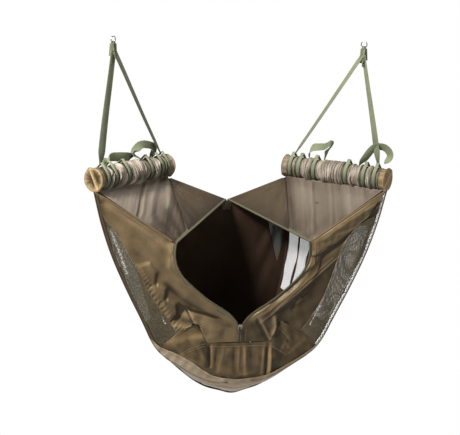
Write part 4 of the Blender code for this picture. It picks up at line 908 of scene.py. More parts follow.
def add_cap(name, end):
    """A fabric end cap: a short skirt, a piped rim drawn out at its seam, and a puckered face."""
    side, left = SIDES[name], name == "left"
    turn = full_turn(96)
    seam = math.radians(62 if left else 40)
    point = np.exp(-(apart(turn, seam) / 0.20) ** 2)
    point = point + 0.8 * np.exp(-(apart(turn, seam + math.pi) / 0.24) ** 2)
    pucker = np.sin(turn * 11 + 1.5 * np.sin(turn * 3))
    base = SLEEVE_R + 0.0004
    rows, tones = [], []
    # Painted shade on the skirt: its tone follows the puckers, lighter and darker by turns
    for x in (-0.0005, 0.004, 0.009, 0.0125):
        rows.append((x, base + (0.0007 * pucker + 0.0022 * point) * x / CAP_SKIRT))
        tones.append(0.42 + 0.12 * pucker)
    for x, r, t in PIPED_RIM:
        rows.append((x, base + r + 0.0030 * point))
        tones.append(t + 0.05 * pucker)
    hollow, shadow = (0.0056, 0.75) if left else (-0.0012, 0.10)
    for share in np.linspace(0.92, 0.0, 16):
        crest = np.exp(-(share * np.sin(turn - seam) / 0.15) ** 2)
        second = 0 if left else np.exp(-(share * np.sin(turn - seam - 1.05) / 0.07) ** 2)
        depth = hollow * (1 - share ** 3) * (1 - 0.75 * crest)
        x = 0.0178 - depth + 0.0016 * crest * (1 - share * 0.3)
        x = x + 0.0010 * second + 0.0009 * pucker * share ** 2
        rows.append((np.minimum(x, 0.0198), share * (base + 0.0030 * point)))
        # A painted highlight on the crests, a painted shadow in the hollow, and painted shade along the
        # puckers
        tone = 0.55 + 0.5 * crest + 0.35 * second - shadow * (1 - crest) * (1 - share ** 2)
        tones.append(tone + 0.10 * pucker * share)
    verts = [round_float(side, end * (SLEEVE_HALF + 0.0002 + x), r, turn) for x, r in rows]
    faces = [tuple(f[::side * end]) for f in grid_faces(len(rows), len(turn), closed=True)]
    uv = np.stack(np.broadcast_arrays(turn[None] * SLEEVE_R, 0.003 * np.arange(len(rows))[:, None]), -1)
    place, material = ("front", "cap") if end > 0 else ("rear", "cap_rear")
    obj = make(f"{name}_{place}_end_cap", verts, faces, material, BAG, (f"{name}_{place}_cap",),
               uv, tones)
    thicken(obj, 0.0010)
    rim = round_float(side, end * (SLEEVE_HALF + 0.0165), base + 0.0030 + 0.0030 * point, turn)
    tube(f"{name}_{place}_cap_piping", rim, 0.0012, material, 6, closed=True)


def teardrop(radius, peak, count):
    half = math.acos(radius / peak)
    turns = np.linspace(math.pi / 2 + half, 5 * math.pi / 2 - half, count)
    out, up = radius * np.cos(turns), radius * np.sin(turns)
    return np.concatenate([[0], out, [0]]), np.concatenate([[peak], up, [peak]])


def band(name, side, place, rides):
    """The webbing that wraps a float, drawn up to a peak where its two ends meet."""
    out, up = teardrop(BAND_OUT - WEB_THICK / 2, BAND_PEAK - WEB_THICK, 56)
    sway = np.append(np.sin(np.linspace(0, 2 * math.pi, 57)), 0.0)
    path = float_point(side, place + 0.0012 * sway, out, up)
    # Painted light: the webbing is lighter the higher it wraps over the float
    ribbon(name, path, float_vector(side, 1, 0, 0), BAND_WEBBING, rides, tone=0.42 + 0.35 * (up / BAND_OUT))


def add_handle(name, place):
    """A carrying handle: two bands and the twisted loop of webbing between them."""
    side, rides, full_name = SIDES[name], f"{name}_{place}_loop", f"{name}_{place}_handle"
    along, up, out, across_along, across_up, across_out = np.array(HANDLE_STATIONS[f"{name}_{place}"]).T
    path = finer(float_point(side, along / 1000, out / 1000, up / 1000), 7)
    across = finer(float_vector(side, across_along, across_out, across_up), 7)
    s = np.linspace(0, 1, len(path))
    wide = WEB * (0.45 + 0.55 * smoothstep(s, 0, 0.15) * smoothstep(1 - s, 0, 0.15))
    # Painted light and shade: lighter and darker by turns along the twisted loop
    tone = 0.62 + 0.2 * np.sin(s * 9)
    ribbon(f"{full_name}_loop", path, across, wide, rides, (full_name,), tone)
    for i, foot in enumerate(FEET[place], start=1):
        band(f"{full_name}_band_{i}", side, foot, rides)


def add_strap(name):
    """A hanging strap: two legs of webbing, sewn together under the loop of the ring."""
    side, rides = SIDES[name], f"{name}_strap"
    apex = float_point(side, APEX, RING_AXIS * math.sin(LEAN), RING_AXIS * math.cos(LEAN))
    to_ring = float_vector(side, 0, math.sin(LEAN), math.cos(LEAN))
    outward = float_vector(side, 0, 1, 0)
    t = np.linspace(0, 1, 40)[:, None]
    drawn_in = smoothstep(t[:, 0], 0.0, 0.13)
    for part, foot, sign in (("front", FEET["strap"][0], 1.0), ("rear", FEET["strap"][1], -1.0)):
        start = float_point(side, foot, (BAND_PEAK - 0.009) * math.sin(LEAN), BAND_PEAK - 0.009)
        finish = apex - to_ring * 0.022 + float_vector(side, sign * 0.0022, 0, 0)
        path = start + (finish - start) * t + outward * 0.0015 * np.sin(t * 5)
        low, high = STRAP_TURNS[name][part]
        yaw = np.radians(low + (high - low) * t)
        across = np.concatenate([np.cos(yaw), np.sin(yaw), 0 * yaw], 1)
        nodes = (f"{name}_hanging_strap",) if part == "front" else ()
        # Painted shade: nearly black at the foot, where the legs part round the float, and lighter toward the
        # ring
        tone = (0.42 + 0.25 * t[:, 0]) * (0.1 + 0.9 * drawn_in)
        ribbon(f"{name}_strap_{part}_leg", path, across, WEB * (0.36 + 0.64 * drawn_in), rides, nodes,
               tone)
        band(f"{name}_strap_{part}_band", side, foot, rides)
    t = np.linspace(0, 1, 14)[:, None]
    for number, along, shift, turn_to, length in TOP_FOLDS:
        path = apex - to_ring * (0.002 + length * t) + float_vector(side, along, shift, 0) * t
        ribbon(f"{name}_strap_top_fold_{number}", path, float_vector(side, 0.8, turn_to, 0),
               0.019 + 0.004 * t[:, 0], rides, tone=0.4 + 0.1 * number)
    turns = np.linspace(-0.55 * math.pi, 1.55 * math.pi, 26)[:, None]
    loop = apex + (outward * np.cos(turns) + to_ring * np.sin(turns)) * 0.0043
    ribbon(f"{name}_strap_ring_loop", loop, float_vector(side, 1, 0, 0), 0.009, rides)
    path = apex - to_ring * (0.040 + 0.014 * t) + float_vector(side, 0.004, -0.002, 0)
    ribbon(f"{name}_strap_tab", path, float_vector(side, 1, -0.4, 0), 0.010, rides, tone=0.1)


# Bag panels

COVER_SEED = {"left": 21, "right": 34}
FRONT_SEED = {"left": 41, "right": 52}
SIDE_SEED = {"left": 61, "right": 66}
# Creases that hang from the float: place along it, height, width, all in millimetres
COVER_CREASES = {
    "left": ((-277, -4.5, 4), (-268, 2.2, 5), (-246, 1.6, 6), (-302, 1.8, 7), (-232, -2.0, 6)),
    "right": ((196, 1.8, 6), (203, -1.8, 5), (248, 1.8, 6), (255, -1.6, 5), (300, 1.6, 7), (335, 1.2, 7),
              (170, 1.4, 8)),
}


def add_cover(name):
    """The cover under a float, with soft creases that hang from the float."""
    side, left, seed = SIDES[name], name == "left", COVER_SEED[name]
    float_edge = float_line(np.linspace(0, 1, 9), COVER_SET_IN) + (0, 0, 0.0080)
    mouth_edge = even(TAPE_EDGE[CORNER:FOLD - 1:-1], 9) + unit(ZIP_LINE[8] - TAPE_EDGE[8]) * HEM_OVER_TAPE
    grid = flip(upsample(trim(loft(float_edge, mouth_edge, 6)), 12 * FINE, 12 * FINE), side)
    v, u = shares(grid)
    z = grid[..., 2]
    hang = grid[..., 0] * 0.975 - grid[..., 1] * 0.219 + 0.10 * side * z
    streaks = rumple(hang, z * 0.12, 0.034, seed, waves=12) * 0.0010
    streaks = streaks + rumple(hang, z * 0.08, 0.013, seed + 1, waves=12) * 0.00025
    soft = rumple(u * 0.33, v * 0.17, 0.12, seed + 2) * 0.0022
    # Painted light and shade: lighter near the float and in a strip along its seam, darker lower down toward
    # the mouth and toward the rear end, and the left cover lighter than the right; the rumple is a random
    # unevenness of tone
    tone = (0.80 if left else 0.55) - 0.55 * smoothstep(-z, 0.05, 0.150) - 0.30 * smoothstep(u, 0.80, 1.0)
    tone = tone + 0.06 * rumple(hang, z * 0.1, 0.040, seed + 3) + 0.20 * np.exp(-(v / 0.035) ** 2)
    lean, bottom, contrast = (2, -110, 0.05) if left else (-12, -150, 0.04)
    # Each crease also gets a painted highlight on its crest and painted shade in its hollow, by the sign of
    # its height
    for place, height, width in COVER_CREASES[name]:
        line = ((place, -20), (place + lean, bottom))
        streaks = streaks + ridge(hang, z, line, width, height, ends=0.15)
        tone = tone + blots(hang, z, ((line, width * 0.8, contrast * height),))
    # Painted shade on the left cover toward the mouth's side, with a painted highlight streak down one
    # crease; the right cover is made less dark lower down
    if left:
        tone = tone - 0.35 * smoothstep(hang, -0.26, -0.20)
        tone = tone + blots(hang, z, ((((-214, -30), (-203, -90)), 6, 0.50),))
    else:
        tone = tone - 0.10 + 0.25 * smoothstep(-z, 0.05, 0.16)
    lift = (streaks + soft) * calm_edges(v, u, 0.05, 0.10, 0.06, 0.04) - 0.0012
    panel(f"{name}_cover", grid, lift, (f"{name}_cover_panel",), "cover", slot="lining_fabric", tone=tone,
          rests=(f"{name}_float_sleeve",))


def add_wing(name):
    """The wing behind the cover, between the float's rear end and the zip."""
    seed = COVER_SEED[name] + 5
    wing_edge = TAPE_EDGE[FOLD:0:-1] + unit(ZIP_LINE[FOLD:0:-1] - TAPE_EDGE[FOLD:0:-1]) * HEM_OVER_TAPE
    rear_end = float_line(1.0, COVER_SET_IN)
    tip = rear_end + (wing_edge - rear_end) * 0.06
    grid = flip(upsample(trim(loft(tip, wing_edge, 6)), 10 * FINE, 14 * FINE), SIDES[name])
    v, u = shares(grid)
    x, y = u * 0.12, v * 0.19
    lift = rumple(x, y, 0.10, seed) * 0.0012 + rumple(x, y * 0.3, 0.02, seed + 1) * 0.0003
    # Painted shade: darker toward the zip and in the fold beside the cover; the rumple is a random unevenness
    # of tone
    tone = 0.75 - 0.45 * smoothstep(v, 0.55, 1.0) - 0.35 * np.exp(-(u / 0.12) ** 2)
    tone = tone + 0.08 * rumple(x, y * 0.3, 0.05, seed + 2)
    lift = lift * calm_edges(v, u, 0.15, 0.12, 0.10, 0.15)
    panel(f"{name}_wing", grid, lift, (f"{name}_rear_wing",), "wing", tone=tone)


# Folds of the front: line, width and height in millimetres
FRONT_FOLDS = {
    "left": (
        (((-392, -54), (-290, -118), (-204, -184)), 11, 4.5),
        (((-380, -80), (-300, -140), (-232, -206)), 12, -3.0),
        (((-345, -120), (-270, -190), (-215, -240)), 14, 3.0),
        (((-330, -160), (-262, -230), (-200, -282)), 10, -2.5),
        (((-206, -196), (-206, -244), (-176, -282), (-120, -330)), 9, 2.5),
        (((-214, -290), (-165, -335), (-108, -372), (-20, -412)), 10, -6.0),
        (((-190, -396), (-168, -380), (-152, -354)), 8, -6.0),
        (((-150, -366), (-128, -398), (-100, -452)), 9, 8.0),
        (((-152, -364), (-90, -388), (-20, -416)), 9, 5.0),
        (((-120, -398), (-80, -420), (-40, -430)), 16, 4.0),
        (((-198, -408), (-162, -414), (-128, -428)), 8, 3.5)),
    "right": (
        (((405, -58), (300, -118), (204, -184)), 15, 6.0),
        (((400, -92), (330, -150), (258, -202), (212, -240)), 8, -5.0),
        (((206, -190), (207, -236), (180, -282)), 8, 3.0),
        (((196, -262), (150, -312), (84, -366), (30, -404)), 11, 5.5),
        (((218, -232), (160, -290), (64, -366)), 8, -6.0),
        (((293, -208), (176, -306), (113, -358), (52, -412)), 5, 3.0),
        (((263, -221), (170, -300), (99, -366)), 5, 2.0), (((45, -392), (66, -426), (84, -462)), 5, -4.0),
        (((54, -390), (76, -424), (92, -458)), 5, 4.0), (((98, -376), (106, -416), (94, -458)), 8, 6.0),
        (((114, -398), (122, -436), (112, -466)), 9, -7.0), (((132, -416), (142, -446)), 6, 5.0),
        (((196, -318), (172, -338)), 5, -3.0), (((160, -340), (150, -374)), 6, -4.0),
        (((182, -334), (158, -356)), 5, 3.0)),
}
# Puffs beside the net: corners and height in millimetres
FRONT_PUFFS = {
    "left": (
        (((-299, -234), (-259, -226), (-239, -254), (-244, -299), (-264, -288)), 5.0),
        (((-259, -299), (-236, -286), (-210, -298), (-216, -340), (-236, -342)), 6.0),
        (((-230, -343), (-207, -328), (-180, -344), (-177, -380), (-202, -393)), 7.0)),
    "right": (),
}
# Painted highlights and painted shade of the front's folds, with two thin lighter lines along the right drag
# seams: line and width in millimetres, amount of tone
FRONT_SHADING_AND_SEAM_LINES = {
    "left": (
        (((-405, -60), (-400, -90)), 16, -0.45), (((-385, -68), (-290, -128), (-205, -184)), 10, 0.38),
        (((-300, -240), (-240, -300), (-190, -370)), 34, -0.10), (((-200, -180), (-200, -230)), 14, 0.35),
        (((-214, -290), (-165, -335), (-108, -372), (-30, -410)), 9, -0.28),
        (((-182, -350), (-150, -362)), 9, -0.45),
        (((-236, -256), (-241, -298)), 5, -0.12), (((-208, -300), (-214, -342)), 5, -0.22),
        (((-178, -346), (-176, -382), (-200, -396)), 6, -0.25),
        (((-190, -180), (-180, -240), (-140, -290)), 8, 0.15),
        (((-165, -392), (-145, -396)), 8, -0.30), (((-190, -410), (-160, -414), (-128, -424)), 9, 0.45),
        (((-150, -366), (-118, -432), (-98, -462)), 3, 0.15)),
    "right": (
        (((395, -60), (300, -125), (215, -180)), 22, 0.15), (((205, -175), (205, -235)), 12, 0.20),
        (((218, -232), (160, -290), (64, -366)), 8, -0.22),
        (((293, -208), (176, -306), (113, -358), (52, -412)), 1.8, 0.30),
        (((263, -221), (170, -300), (99, -366)), 1.8, 0.20), (((230, -290), (170, -345)), 16, -0.08),
        (((30, -388), (62, -398)), 12, 0.32), (((45, -392), (84, -462)), 4, -0.30),
        (((54, -390), (92, -458)), 4, 0.22),
        (((94, -384), (104, -420), (93, -456)), 7, 0.42),
        (((113, -400), (121, -440), (112, -466)), 11, -0.32),
        (((134, -424), (141, -442)), 4, 0.45), (((196, -318), (172, -338)), 4, -0.15),
        (((160, -340), (150, -374)), 5, -0.15)),
}
FLAP = ((-152, -364), (-20, -404), (-20, -470), (-92, -468), (-118, -432))
# Painted white glints on the front nets: highlights that turn their threads white
GLINTS = {
    "left": ((((-384, -106), (-344, -200), (-306, -304)), 7, 0.50), (((-229, -376), (-208, -412)), 5, 0.50)),
    "right": ((((243, -338), (218, -392), (197, -438)), 5, 0.50),
              (((394, -103), (345, -235), (289, -340), (257, -405)), 3.5, 0.50)),
}


def front_cloth_lift(name, x, z, u, v):
    """Heights of the folds, puffs and gathers of a front panel."""
    left, seed = name == "left", FRONT_SEED[name]
    broad, fine = (0.0014, 0.0004) if left else (0.0009, 0.00015)
    lift = ridges(x, z, FRONT_FOLDS[name])
    for corners, height in FRONT_PUFFS[name]:
        lift = lift + height / 1000 * smoothstep(inside(x, z, corners), -0.004, 0.009)
    if left:
        run = v * 0.48
        gathers = np.sin(2 * math.pi * run / 0.0095 + 2.0 * np.sin(run * 60)) * smoothstep(u, 0.70, 1.0)
        lift = lift + 0.0016 * gathers * smoothstep(v, 0.35, 0.5) * smoothstep(1 - v, 0.05, 0.2)
    return lift + rumple(x + 0.5 * z, z, 0.075, seed) * broad + rumple(x, z + 0.6 * x, 0.028, seed + 1) * fine


def add_front_cloth(name, coarse, ridge_steps):
    """The front panel beside the zip, with its drag folds and the ruched seam beside the mesh."""
    side, left = SIDES[name], name == "left"
    grid = upsample(trim(coarse), 6 * FINE, 9 * FINE, breaks=(ridge_steps,))
    zipward = unit(grid[:, :1] - grid[:, 1:2])
    below = (np.arange(grid.shape[0]) > ridge_steps * 6 * FINE)[:, None, None]
    share = np.linspace(1, 0, grid.shape[1])[None, :, None] ** 2
    grid = flip(grid + zipward * share * below * HEM_OVER_TAPE, side)
    x, z = grid[..., 0], grid[..., 2]
    u, v = shares(grid)
    edges = calm_edges(u, v, 0.04, 0.05, 0.03, 0.04)
    lift = front_cloth_lift(name, x, z, u, v) * edges
    # Painted light: the left panel, on the key lamp's side, starts lighter than the right; the rumple is a
    # random unevenness; the table adds painted highlights and shade of the folds
    tone = (0.44 if left else 0.10) + 0.05 * rumple(x, z, 0.05, FRONT_SEED[name] + 8)
    tone = tone + blots(x, z, FRONT_SHADING_AND_SEAM_LINES[name])
    ends = ridge_ends()
    top_line = [p[[0, 2]] * (side * 1000, 1000) for p in ends]
    if left:
        lift = lift + ridge(x, z, top_line, 10, 7.0, 1.5, 0.12) * (1 - 0.4 * smoothstep(-x, 0.30, 0.42))
        flap, flap_height, flap_shadow = inside(x, z, FLAP), 0.0042, 0.45
        held = 1 - smoothstep(x, -0.085, -0.045)
    else:
        hem = nearest(x, z, top_line)[0]
        hem_width = 0.012 + 0.030 * smoothstep(-z, 0.05, 0.14) + 0.002 * rumple(x, z, 0.04, 59)
        hem_lift = smoothstep(hem_width - hem, -0.001, 0.002)
        lift = lift + 0.0006 * rumple(x + z, x - z, 0.030, 57) * smoothstep(hem_width - hem, 0, 0.01)
        lift = lift + 0.0030 * hem_lift
        # Painted highlight on the raised hem and a painted shadow under its edge
        tone = tone + 0.24 * hem_lift - 0.40 * np.exp(-((hem - hem_width - 0.002) / 0.003) ** 2)
        zip_line = [p[[0, 2]] * 1000 for p in TAPE_EDGE[CORNER + 1:-2]]
        flap, flap_height, flap_shadow = 0.026 - nearest(x, z, zip_line)[0], 0.0028, 0.22
        held = smoothstep(-z, 0.20, 0.24) * (1 - smoothstep(-z, 0.36, 0.41))
    flap_lift = smoothstep(flap, -0.001, 0.002) * held
    lift = lift + flap_height * flap_lift * edges
    # Painted highlight on the lifted flap and a painted shadow along its edge
    tone = tone + 0.20 * flap_lift - flap_shadow * np.exp(-((flap + 0.0025) / 0.003) ** 2) * held
    panel(f"{name}_front_cloth", grid, lift, (f"{name}_front_panel",), tone=tone, depth_tone=26.0,
          facing=0.60)
    top_edge = flip(finer((ends[0], (ends[0] + ends[1]) / 2, ends[1]), 20), side)
    tube(f"{name}_ridge_hem", top_edge + (0, 0.0002, 0.0020), 0.0034, "satin", 10)


def add_front(name):
    """A half of the front wall: its cloth, its net and the strip and piping at its edge."""
    side, left, seed = SIDES[name], name == "left", FRONT_SEED[name]
    front_panel, ridge_steps, front_mesh, front_border = front_grids(name)
    add_front_cloth(name, front_panel, ridge_steps)

    grid = flip(upsample(trim(front_mesh), 8 * FINE, 8 * FINE), side)
    x, z = grid[..., 0], grid[..., 2]
    lift = rumple(x, z, 0.09, seed + 3) * 0.0022 + rumple(x * 0.4, z, 0.03, seed + 4) * 0.0006
    net(f"{name}_front_net", grid, lift * calm_edges(*shares(grid), 0.1, 0.1, 0.06, 0.06), "net",
        (f"{name}_front_mesh",), tone=0.30 + blots(x, z, GLINTS[name], ends=0.25), depth_tone=0.0)

    border = flip(upsample(trim(front_border, end=0), 8 * FINE, 6), side)
    lift = 0.0014 * np.sin(math.pi * shares(border)[0])
    lift = lift + 0.0004 * rumple(border[..., 0], border[..., 2], 0.03, seed + 6)
    material, second = ("wing", "dark") if left else ("net_rim", None)
    # A high tone: on the right it turns the net rim's threads white in flecks, as painted glints
    panel(f"{name}_front_edge", border, lift, (f"{name}_front_border",), material, second, tone=0.85)
    tube(f"{name}_front_edge_piping", flip(finer(FRONT_EDGE, 6), side), 0.0022, "wing")
    tube(f"{name}_rear_edge_piping", flip(finer(REAR_EDGE, 6), side), 0.0030, "wing")
    n = normals(grid)[:, 0]
    stitches(f"{name}_window_stitches", grid[:, 0] + n * 0.0016, n)


# Painted highlights and painted shade of the lower panel's folds and pleats: line and width in millimetres,
# amount of tone
LOWER_SHADING = (
    (((-207, -456), (-150, -447), (-112, -441)), 9, 0.55),
    (((-200, -480), (-150, -500), (-110, -515)), 9, -0.12),
    (((-160, -498), (-110, -526)), 8, 0.22), (((-102, -466), (-93, -500), (-86, -530)), 8, -0.45),
    (((-79, -470), (-77, -538)), 2.6, 0.65), (((-60, -470), (-64, -512)), 8, -0.15),
    (((-33, -484), (-44, -516), (-55, -550)), 6, 0.30), (((-14, -480), (-10, -550)), 6, -0.12),
    (((0, -476), (2, -550)), 4, 0.20), (((16, -480), (20, -520), (24, -562)), 5, 0.32),
    (((40, -476), (44, -560)), 10, -0.06), (((74, -476), (73, -572)), 3.5, 0.30),
    (((83, -470), (84, -572)), 3.5, -0.25), (((92, -470), (94, -576)), 4.5, 0.45),
    (((112, -440), (118, -500), (112, -540)), 10, -0.25), (((140, -470), (146, -484)), 4, 0.35),
    (((190, -460), (150, -500)), 6, 0.15),
)
# Pleats below the zip: place at the top and at the bottom, width, height
LOWER_PLEATS = (
    (-64, -62, 7, -3.0), (-36, -56, 8, 4.5), (-12, -10, 6, -2.0), (2, 3, 6, 2.4),
    (18, 24, 7, 4.0), (38, 42, 8, -1.6), (58, 60, 8, 1.2), (75, 74, 5, 2.6),
)
LOWER_FOLDS = (
    (((-84, -464), (-80, -500), (-77, -540)), 5, -6.0), (((-94, -466), (-92, -500), (-88, -536)), 6, 4.5),
    (((86, -470), (88, -520), (88, -575)), 5, -5.0), (((94, -472), (97, -520), (98, -570)), 5, 4.0),
    (((-200, -452), (-150, -500), (-100, -536)), 10, 3.0),
    (((-160, -440), (-120, -480), (-100, -520)), 10, -3.0),
    (((112, -420), (138, -450), (150, -480)), 7, -3.0), (((150, -440), (128, -490), (110, -540)), 10, 3.0),
    (((-60, -548), (0, -566), (70, -556)), 8, 3.0),
)
SEAM_STITCHES = {
    "left_seam_1": ((-214, -462), (-160, -436), (-118, -410)),
    "left_seam_2": ((-216, -470), (-162, -444), (-118, -418)),
    "left_seam_3": ((-178, -500), (-140, -480), (-98, -464)),
    "left_seam_4": ((-182, -508), (-142, -488), (-100, -472)),
    "left_corner": ((-204, -172), (-206, -200), (-204, -232)),
    "left_hem": ((-398, -66), (-300, -130), (-214, -188)),
    "middle_seam": ((-84, -474), (0, -474), (84, -474)),
    "right_seam_1": ((108, -416), (130, -440), (152, -462)),
    "right_seam_2": ((94, -476), (118, -490), (142, -506)),
    "right_corner": ((206, -172), (208, -200), (206, -232)),
    "right_corner_2": ((214, -168), (216, -198), (214, -228)),
    "right_hem": ((398, -72), (300, -152), (222, -206)),
    "right_drag_1": ((293, -208), (176, -306), (113, -358), (56, -408)),
    "right_drag_2": ((263, -221), (170, -300), (104, -362)),
    "zip_left": ((-18, -424), (-18, -458)),
    "zip_right": ((18, -424), (18, -458)),
}


def laid_on_front(points):
    """Points on the front cloth under a line, with its normals."""
    surface, facing_out = (np.concatenate(part) for part in zip(*LAID_OUT))
    spots, outward = [], []
    for x, z in finer(np.array(points) / 1000, 24):
        near = np.argsort((surface[:, 0] - x) ** 2 + (surface[:, 2] - z) ** 2)[:4]
        spots.append((x, surface[near, 1].min(), z))
        outward.append(facing_out[near].mean(0))
    return np.array(spots), unit(np.array(outward))


def add_seam_stitches():
    for name, points in SEAM_STITCHES.items():
        line, outward = laid_on_front(points)
        stitches(f"{name}_stitches", line + outward * 0.0005, outward, *SEAM_STITCH)


def add_lower():
    """The lower front panel, with pleats that fan out from the end of the zip."""
    places = ((0.423, 0.733), (0.297, 0.687), (0.215, 0.786), (0.110, 0.789), (0.0, 0.789))
    top = [wall(a, d) for a, d in places]
    outer = border_inner(SIDE_STEPS)
    top = [outer, outer + (top[0] - outer) * 0.35] + top
    bottom = at(FRONT_EDGE[SIDE_STEPS:], (0.0, 0.07, 0.17, 0.34, 0.60, 0.80, 1.0))
    half = loft(top, bottom, 4)
    grid = upsample(trim(both_halves(half, half), end=0), 12 * FINE, 14 * FINE, breaks=(2, 3, 4, 8, 9, 10))
    x, z = grid[..., 0], grid[..., 2]
    lift = ridges(x, z, LOWER_FOLDS)
    for start, end, width, height in LOWER_PLEATS:
        line = ((start, -462), ((start + end) / 2, -505), (end, -560))
        lift = lift + ridge(x, z, line, width, height, ends=0.5)
    lift = lift + rumple(x, z, 0.06, 71) * 0.0008 + rumple(x, z, 0.022, 72) * 0.0002
    # Painted light: lighter on the left, the key lamp's side, and darker on the right, with painted
    # highlights and shade of its folds; the rumple is a random unevenness of tone
    tone = 0.21 - 0.08 * smoothstep(x, 0.09, 0.12) + 0.08 * smoothstep(-x, 0.09, 0.12)
    tone = tone + 0.05 * rumple(x, z, 0.04, 73) + blots(x, z, LOWER_SHADING)
    panel("lower_front_cloth", grid, lift * calm_edges(*shares(grid), 0.06, 0.08, 0.03, 0.03),
          ("front_lower_panel",), "lower", tone=tone, depth_tone=26.0, facing=0.50)


def add_lower_rim():
    """The strip that binds the lower front panel to the base."""
    edge = FRONT_EDGE[SIDE_STEPS - 1:]
    away = inward_from(np.gradient(edge, axis=0))
    away[-1] = (0, 0, 1)
    halves = []
    for widths in ((1, 12, 24, 28, 28, 24, 18, 14, 12), (1, 4, 7, 8, 9, 10, 11, 12, 12)):
        halves.append(np.stack([edge, on_wall(edge + away * np.array(widths)[:, None] / 1000)], 1))
    grid = upsample(both_halves(*halves), 12, 8)
    x, z = grid[..., 0], grid[..., 2]
    # Painted light: lighter on the left than on the right, with strong painted shade in its hollows
    panel("lower_rim", grid, 0.0030 + 0.0010 * rumple(x, z, 0.03, 77), (), "base", slot="base_fabric",
          tone=0.60 - 0.3 * smoothstep(x, -0.05, 0.05), depth_tone=80.0, thickness=0.0012)
    line, n = grid[:, 6], normals(grid)[:, 6]
    stitches("lower_rim_stitches", line + n * 0.0034, n, *SEAM_STITCH)


def cells(grid, rows, columns):
    """Part of a grid, with the points at its end rows and columns."""
    return grid[rows[0]:rows[1] + 1, columns[0]:columns[1] + 1]


def no_gaps(grid):
    return np.zeros((grid.shape[0] - 1, grid.shape[1] - 1), bool)


def add_sides(name):
    """A side panel hung from its float, the net in its window and two pale nets behind it."""
    back = (0.0, 0.07, 0.20, 0.40, 0.60, 0.69, 0.82, 0.845, 0.975, 1.0)
    rows = trim(body(np.arange(SIDE_STEPS + 1)[:, None], back), start=0.0043, end=0.0028)
    tall, wide = 7 * FINE, 6 * FINE
    grid = flip(upsample(rows, tall, wide), SIDES[name])
    skip = no_gaps(grid)
    window = ((3 * tall, 11 * tall), (wide, 3 * wide))
    skip[window[0][0]:window[0][1], window[1][0]:window[1][1]] = True
    high, low = 5 * tall, int(10.6 * tall)
    for first, last, kind in ((5, 6, "ruched"), (7, 8, "rear")):
        skip[high:low, first * wide:last * wide] = True
        part = cells(grid, (high, low), (first * wide, last * wide))
        pleats = 0.0012 * np.sin(np.linspace(0, 9 * math.pi, part.shape[1])) * (kind == "ruched")
        net(f"{name}_side_{kind}_net", part, pleats - 0.0002, "net_pale")
    u, v = shares(grid)
    x, y = u * 0.24, v * 0.42
    seed = SIDE_SEED[name]
    lift = rumple(x, y, 0.09, seed) * 0.0022 + rumple(x, y * 0.5, 0.03, seed + 1) * 0.0008
    lift = lift * calm_edges(u, v, 0.08, 0.08, 0.04, 0.04)
    panel(f"{name}_side_cloth", grid, lift, (f"{name}_side_panel",), tone=0.45, depth_tone=55.0, skip=skip)
    net(f"{name}_side_net", cells(grid, *window), cells(lift, *window) - 0.0002, "net_open",
        (f"{name}_side_mesh",))


def add_base():
    """The base, which sags under the bag, and the webbing strap that crosses it."""
    back = (0.0, 0.07, 0.20, 0.40, 0.60, 0.80, 0.93, 1.0)
    half = body(np.arange(SIDE_STEPS, STEPS + 1)[:, None], back)
    grid = upsample(trim(both_halves(half, half), start=0.0028, end=0.0028), 9 * FINE, 8 * FINE)
    u, v = shares(grid)
    x, y = u * 0.28, v * 0.62
    lift = rumple(x, y * 0.4, 0.05, 81) * 0.0016 + rumple(x, y, 0.10, 82) * 0.0022
    lift = lift + 0.0035 * np.exp(-((u - 0.06) / 0.03) ** 2) - 0.0030 * np.exp(-((u - 0.13) / 0.03) ** 2)
    lift = np.minimum(lift, 0.0008) * calm_edges(u, v, 0.06, 0.06, 0.03, 0.03)
    panel("base_cloth", grid, lift, ("base_panel",), "base", slot="base_fabric", tone=0.62)

    half = body(np.arange(SIDE_STEPS - 2, STEPS + 1)[:, None], (0.22, 0.27, 0.32))
    fine = upsample(both_halves(half, half), 5, 2)
    middle = fine[:, 2] + normals(fine)[:, 2] * 0.0030
    ribbon("belly_strap_webbing", middle, fine[:, 4] - fine[:, 0], WEB, BAG, ("belly_strap",), 0.4)


def rear_column(share):
    """Points down the rear wall at a share of its half width."""
    corner, bottom, reach = REAR_EDGE[0], REAR_EDGE[::-1], STEPS - 2
    top = rear_wall(share, REAR_SLIDER)
    top[0] = corner[0] * share
    top[2] = -REAR_SLIDER + (corner[2] + REAR_SLIDER) * share
    place = share * reach
    low = min(int(place), reach - 1)
    foot = bottom[low] + (bottom[low + 1] - bottom[low]) * (place - low)
    column = []
    for down in (0.0, 0.075, 0.25, 0.42, 0.60, 0.80, 1.0):
        p = top + (foot - top) * down
        column.append((p[0], rear_wall(share, -p[2])[1], p[2]))
    return column


